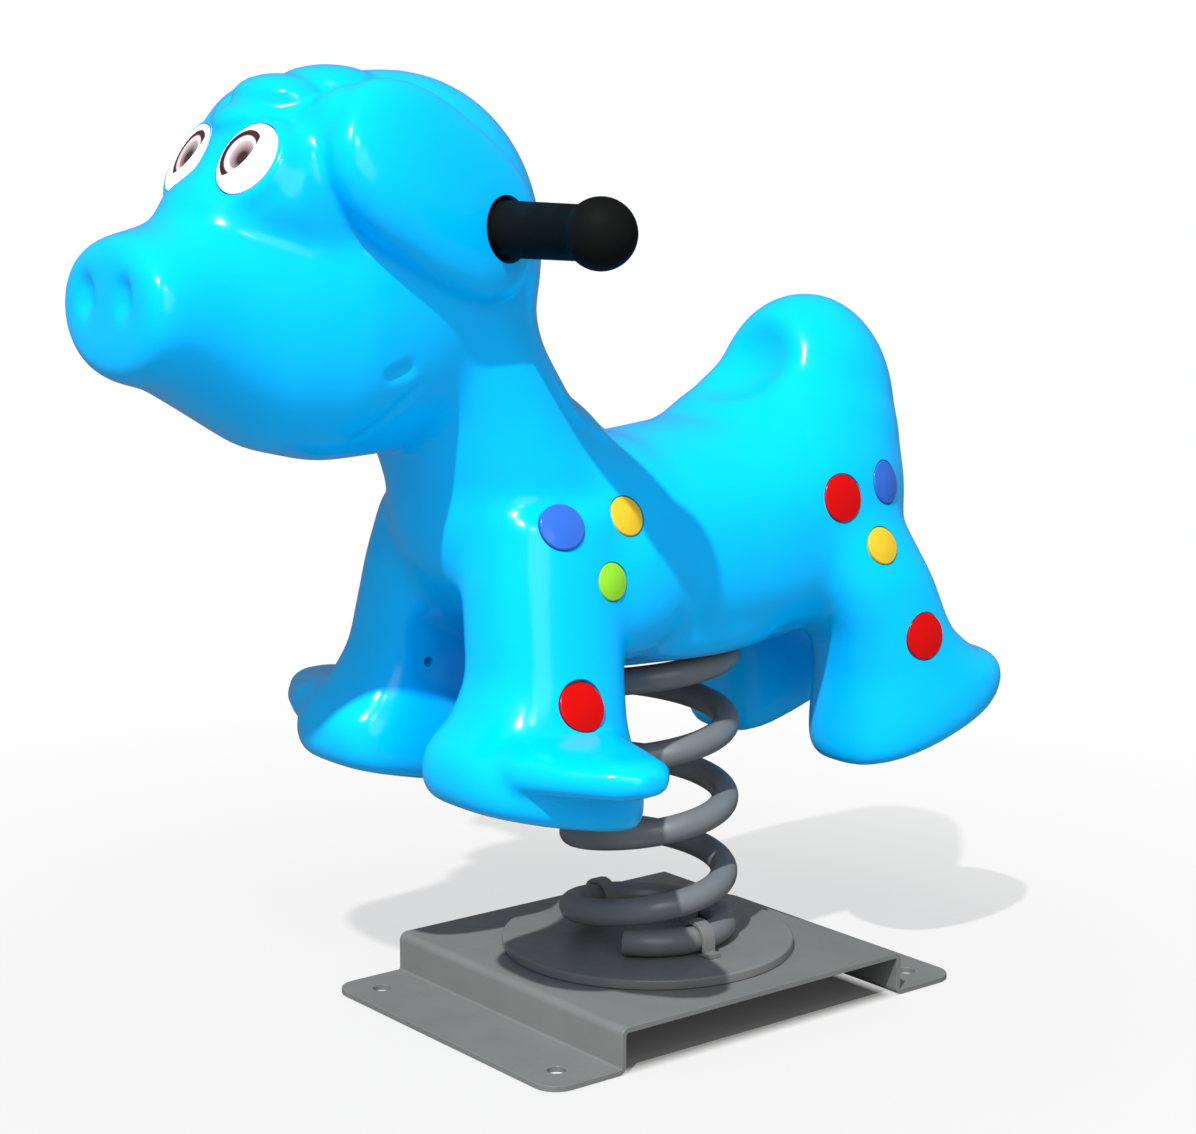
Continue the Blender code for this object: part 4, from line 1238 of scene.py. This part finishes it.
def floor_finish():
    """Seamless pale paper: it takes the soft shadow and fades to white away from the toy.

    Only the camera sees it so. To other rays it is a plain grey, so that it lights the toy from below as a
    dull floor would. Most of its brightness is a glow, which a square mask turns down under the base as
    painted shade.
    """
    material, tree = new_material("Seamless studio paper")
    coordinates = add_node(tree, "TexCoord").outputs["Object"]
    split = add_node(tree, "SeparateXYZ", {"Vector": coordinates})
    # Mask that is 1 under the base, where the glow is turned down to paint shade on the floor
    beneath = 1.0
    for axis, middle in (("X", 0.0), ("Y", SPRING_Y)):
        off = add_node(tree, "Math", {0: split.outputs[axis], 1: middle}, operation="SUBTRACT").outputs[0]
        off = add_node(tree, "Math", {0: off}, operation="ABSOLUTE").outputs[0]
        start, end = PAINTED_SHADE_UNDER_BASE
        inside = add_node(
            tree,
            "MapRange",
            {"Value": off, "From Min": start, "From Max": end, "To Min": 1.0, "To Max": 0.0},
        ).outputs["Result"]
        beneath = add_node(tree, "Math", {0: inside, 1: beneath}, operation="MULTIPLY").outputs[0]
    # The weaker glow under the base is painted shade for the dark gap under the raised sheet
    in_open, painted_shade_glow = FLOOR_GLOW
    strength = add_node(tree, "MapRange", {"Value": beneath, "To Min": in_open, "To Max": painted_shade_glow})
    glow = add_node(tree, "Emission", {"Strength": strength.outputs["Result"]}).outputs["Emission"]
    tooth = shaded(tree, tuple(colours().paper), grain(tree, size=0.004, detail=3.0), depth=0.02)
    lit = add_node(tree, "BsdfDiffuse", {"Color": tooth}).outputs["BSDF"]
    near = add_node(tree, "AddShader", {0: lit, 1: glow}).outputs["Shader"]
    far = add_node(tree, "Emission", {"Strength": 1.0}).outputs["Emission"]
    away = add_node(tree, "VectorMath", {0: coordinates}, operation="LENGTH").outputs["Value"]
    start, end = FLOOR_FADE
    fade = add_node(tree, "MapRange", {"Value": away, "From Min": start, "From Max": end}).outputs["Result"]
    shown = add_node(tree, "MixShader", {"Fac": fade, 1: near, 2: far}).outputs["Shader"]
    path = add_node(tree, "LightPath")
    plain, dull = (
        add_node(tree, "BsdfDiffuse", {"Color": (share, share, share, 1.0)}).outputs["BSDF"]
        for share in (FLOOR_BOUNCE, FLOOR_SHEEN)
    )
    unseen = add_node(tree, "MixShader", {"Fac": path.outputs["Is Glossy Ray"], 1: plain, 2: dull})
    seen = path.outputs["Is Camera Ray"]
    whole = add_node(tree, "MixShader", {"Fac": seen, 1: unseen.outputs["Shader"], 2: shown})
    add_node(tree, "OutputMaterial", {"Surface": whole.outputs["Shader"]})
    return material


def surroundings():
    """Pale air that lights the toy, shines on it faintly and is white to the camera."""
    world = bpy.data.worlds.new("studio_air")
    world.use_nodes = True
    tree = world.node_tree
    tree.nodes.clear()
    pale = (*colours().air, 1.0)
    white = (1.0, 1.0, 1.0, 1.0)
    light, shine, seen = (
        add_node(tree, "Background", {"Color": tint, "Strength": strength}).outputs["Background"]
        for tint, strength in ((pale, AIR_LIGHT), (white, AIR_SHINE), (white, AIR_SEEN))
    )
    path = add_node(tree, "LightPath")
    unseen = add_node(tree, "MixShader", {"Fac": path.outputs["Is Glossy Ray"], 1: light, 2: shine})
    camera = path.outputs["Is Camera Ray"]
    whole = add_node(tree, "MixShader", {"Fac": camera, 1: unseen.outputs["Shader"], 2: seen})
    add_node(tree, "OutputWorld", {"Surface": whole.outputs["Shader"]})
    return world


class SPRINGRIDER_OT_stage(bpy.types.Operator):
    """Set up the floor, the lamps, the surroundings and the camera"""

    bl_idname = "springrider.stage"
    bl_label = "Studio"

    def execute(self, context):
        scene = context.scene
        floor = new_primitive(
            bpy.ops.mesh.primitive_grid_add, x_subdivisions=8, y_subdivisions=8, size=FLOOR_SIZE
        )
        floor.name = "floor"
        dress(floor, floor_finish())
        floor.location.z = -FLOOR_DROP
        lamp("key", "SUN", KEY_POWER, KEY_DIRECTION, angle=math.radians(KEY_SPREAD))
        disc_lamp("softbox", SOFTBOX_POWER, SOFTBOX_PLACE, SOFTBOX_SIZE)
        disc_lamp("side_fill", SIDE_FILL_POWER, SIDE_FILL_PLACE, SIDE_FILL_SIZE, specular_factor=0.0)
        scene.world = surroundings()
        data = bpy.data.cameras.new("camera")
        data.lens = CAMERA_LENS
        data.sensor_width = SENSOR
        data.sensor_fit = "HORIZONTAL"
        data.clip_start = 0.05
        data.clip_end = 100.0
        camera = bpy.data.objects.new("camera", data)
        camera.matrix_world = camera_matrix()
        scene.collection.objects.link(camera)
        scene.camera = camera
        scene.view_settings.view_transform = "Standard"
        return {"FINISHED"}


class SPRINGRIDER_PT_panel(bpy.types.Panel):
    """Lists the pieces, the sizes and the colours"""

    bl_idname = "SPRINGRIDER_PT_panel"
    bl_label = "Spring rider"
    bl_space_type = "VIEW_3D"
    bl_region_type = "UI"
    bl_category = "Spring rider"

    def draw(self, context):
        layout = self.layout
        for operator in OPERATORS:
            layout.operator(operator.bl_idname)
        for group in (context.scene.spring_rider_sizes, context.scene.spring_rider_colours):
            box = layout.box()
            for name in group.bl_rna.properties.keys():
                if name not in {"rna_type", "name"}:
                    box.prop(group, name)


OPERATORS = (
    SPRINGRIDER_OT_skin,
    SPRINGRIDER_OT_spots,
    SPRINGRIDER_OT_eyes,
    SPRINGRIDER_OT_grips,
    SPRINGRIDER_OT_spring,
    SPRINGRIDER_OT_steelwork,
    SPRINGRIDER_OT_stage,
)
CLASSES = (SpringRiderSizes, SpringRiderColours, *OPERATORS, SPRINGRIDER_PT_panel)


def register():
    for item in CLASSES:
        bpy.utils.register_class(item)
    bpy.types.Scene.spring_rider_sizes = bpy.props.PointerProperty(type=SpringRiderSizes)
    bpy.types.Scene.spring_rider_colours = bpy.props.PointerProperty(type=SpringRiderColours)


def unregister():
    del bpy.types.Scene.spring_rider_colours
    del bpy.types.Scene.spring_rider_sizes
    for item in reversed(CLASSES):
        bpy.utils.unregister_class(item)


def main():
    register()
    bpy.ops.object.select_all(action="DESELECT")
    for operator in OPERATORS:
        group, name = operator.bl_idname.split(".")
        getattr(getattr(bpy.ops, group), name)()


if __name__ == "__main__":
    main()
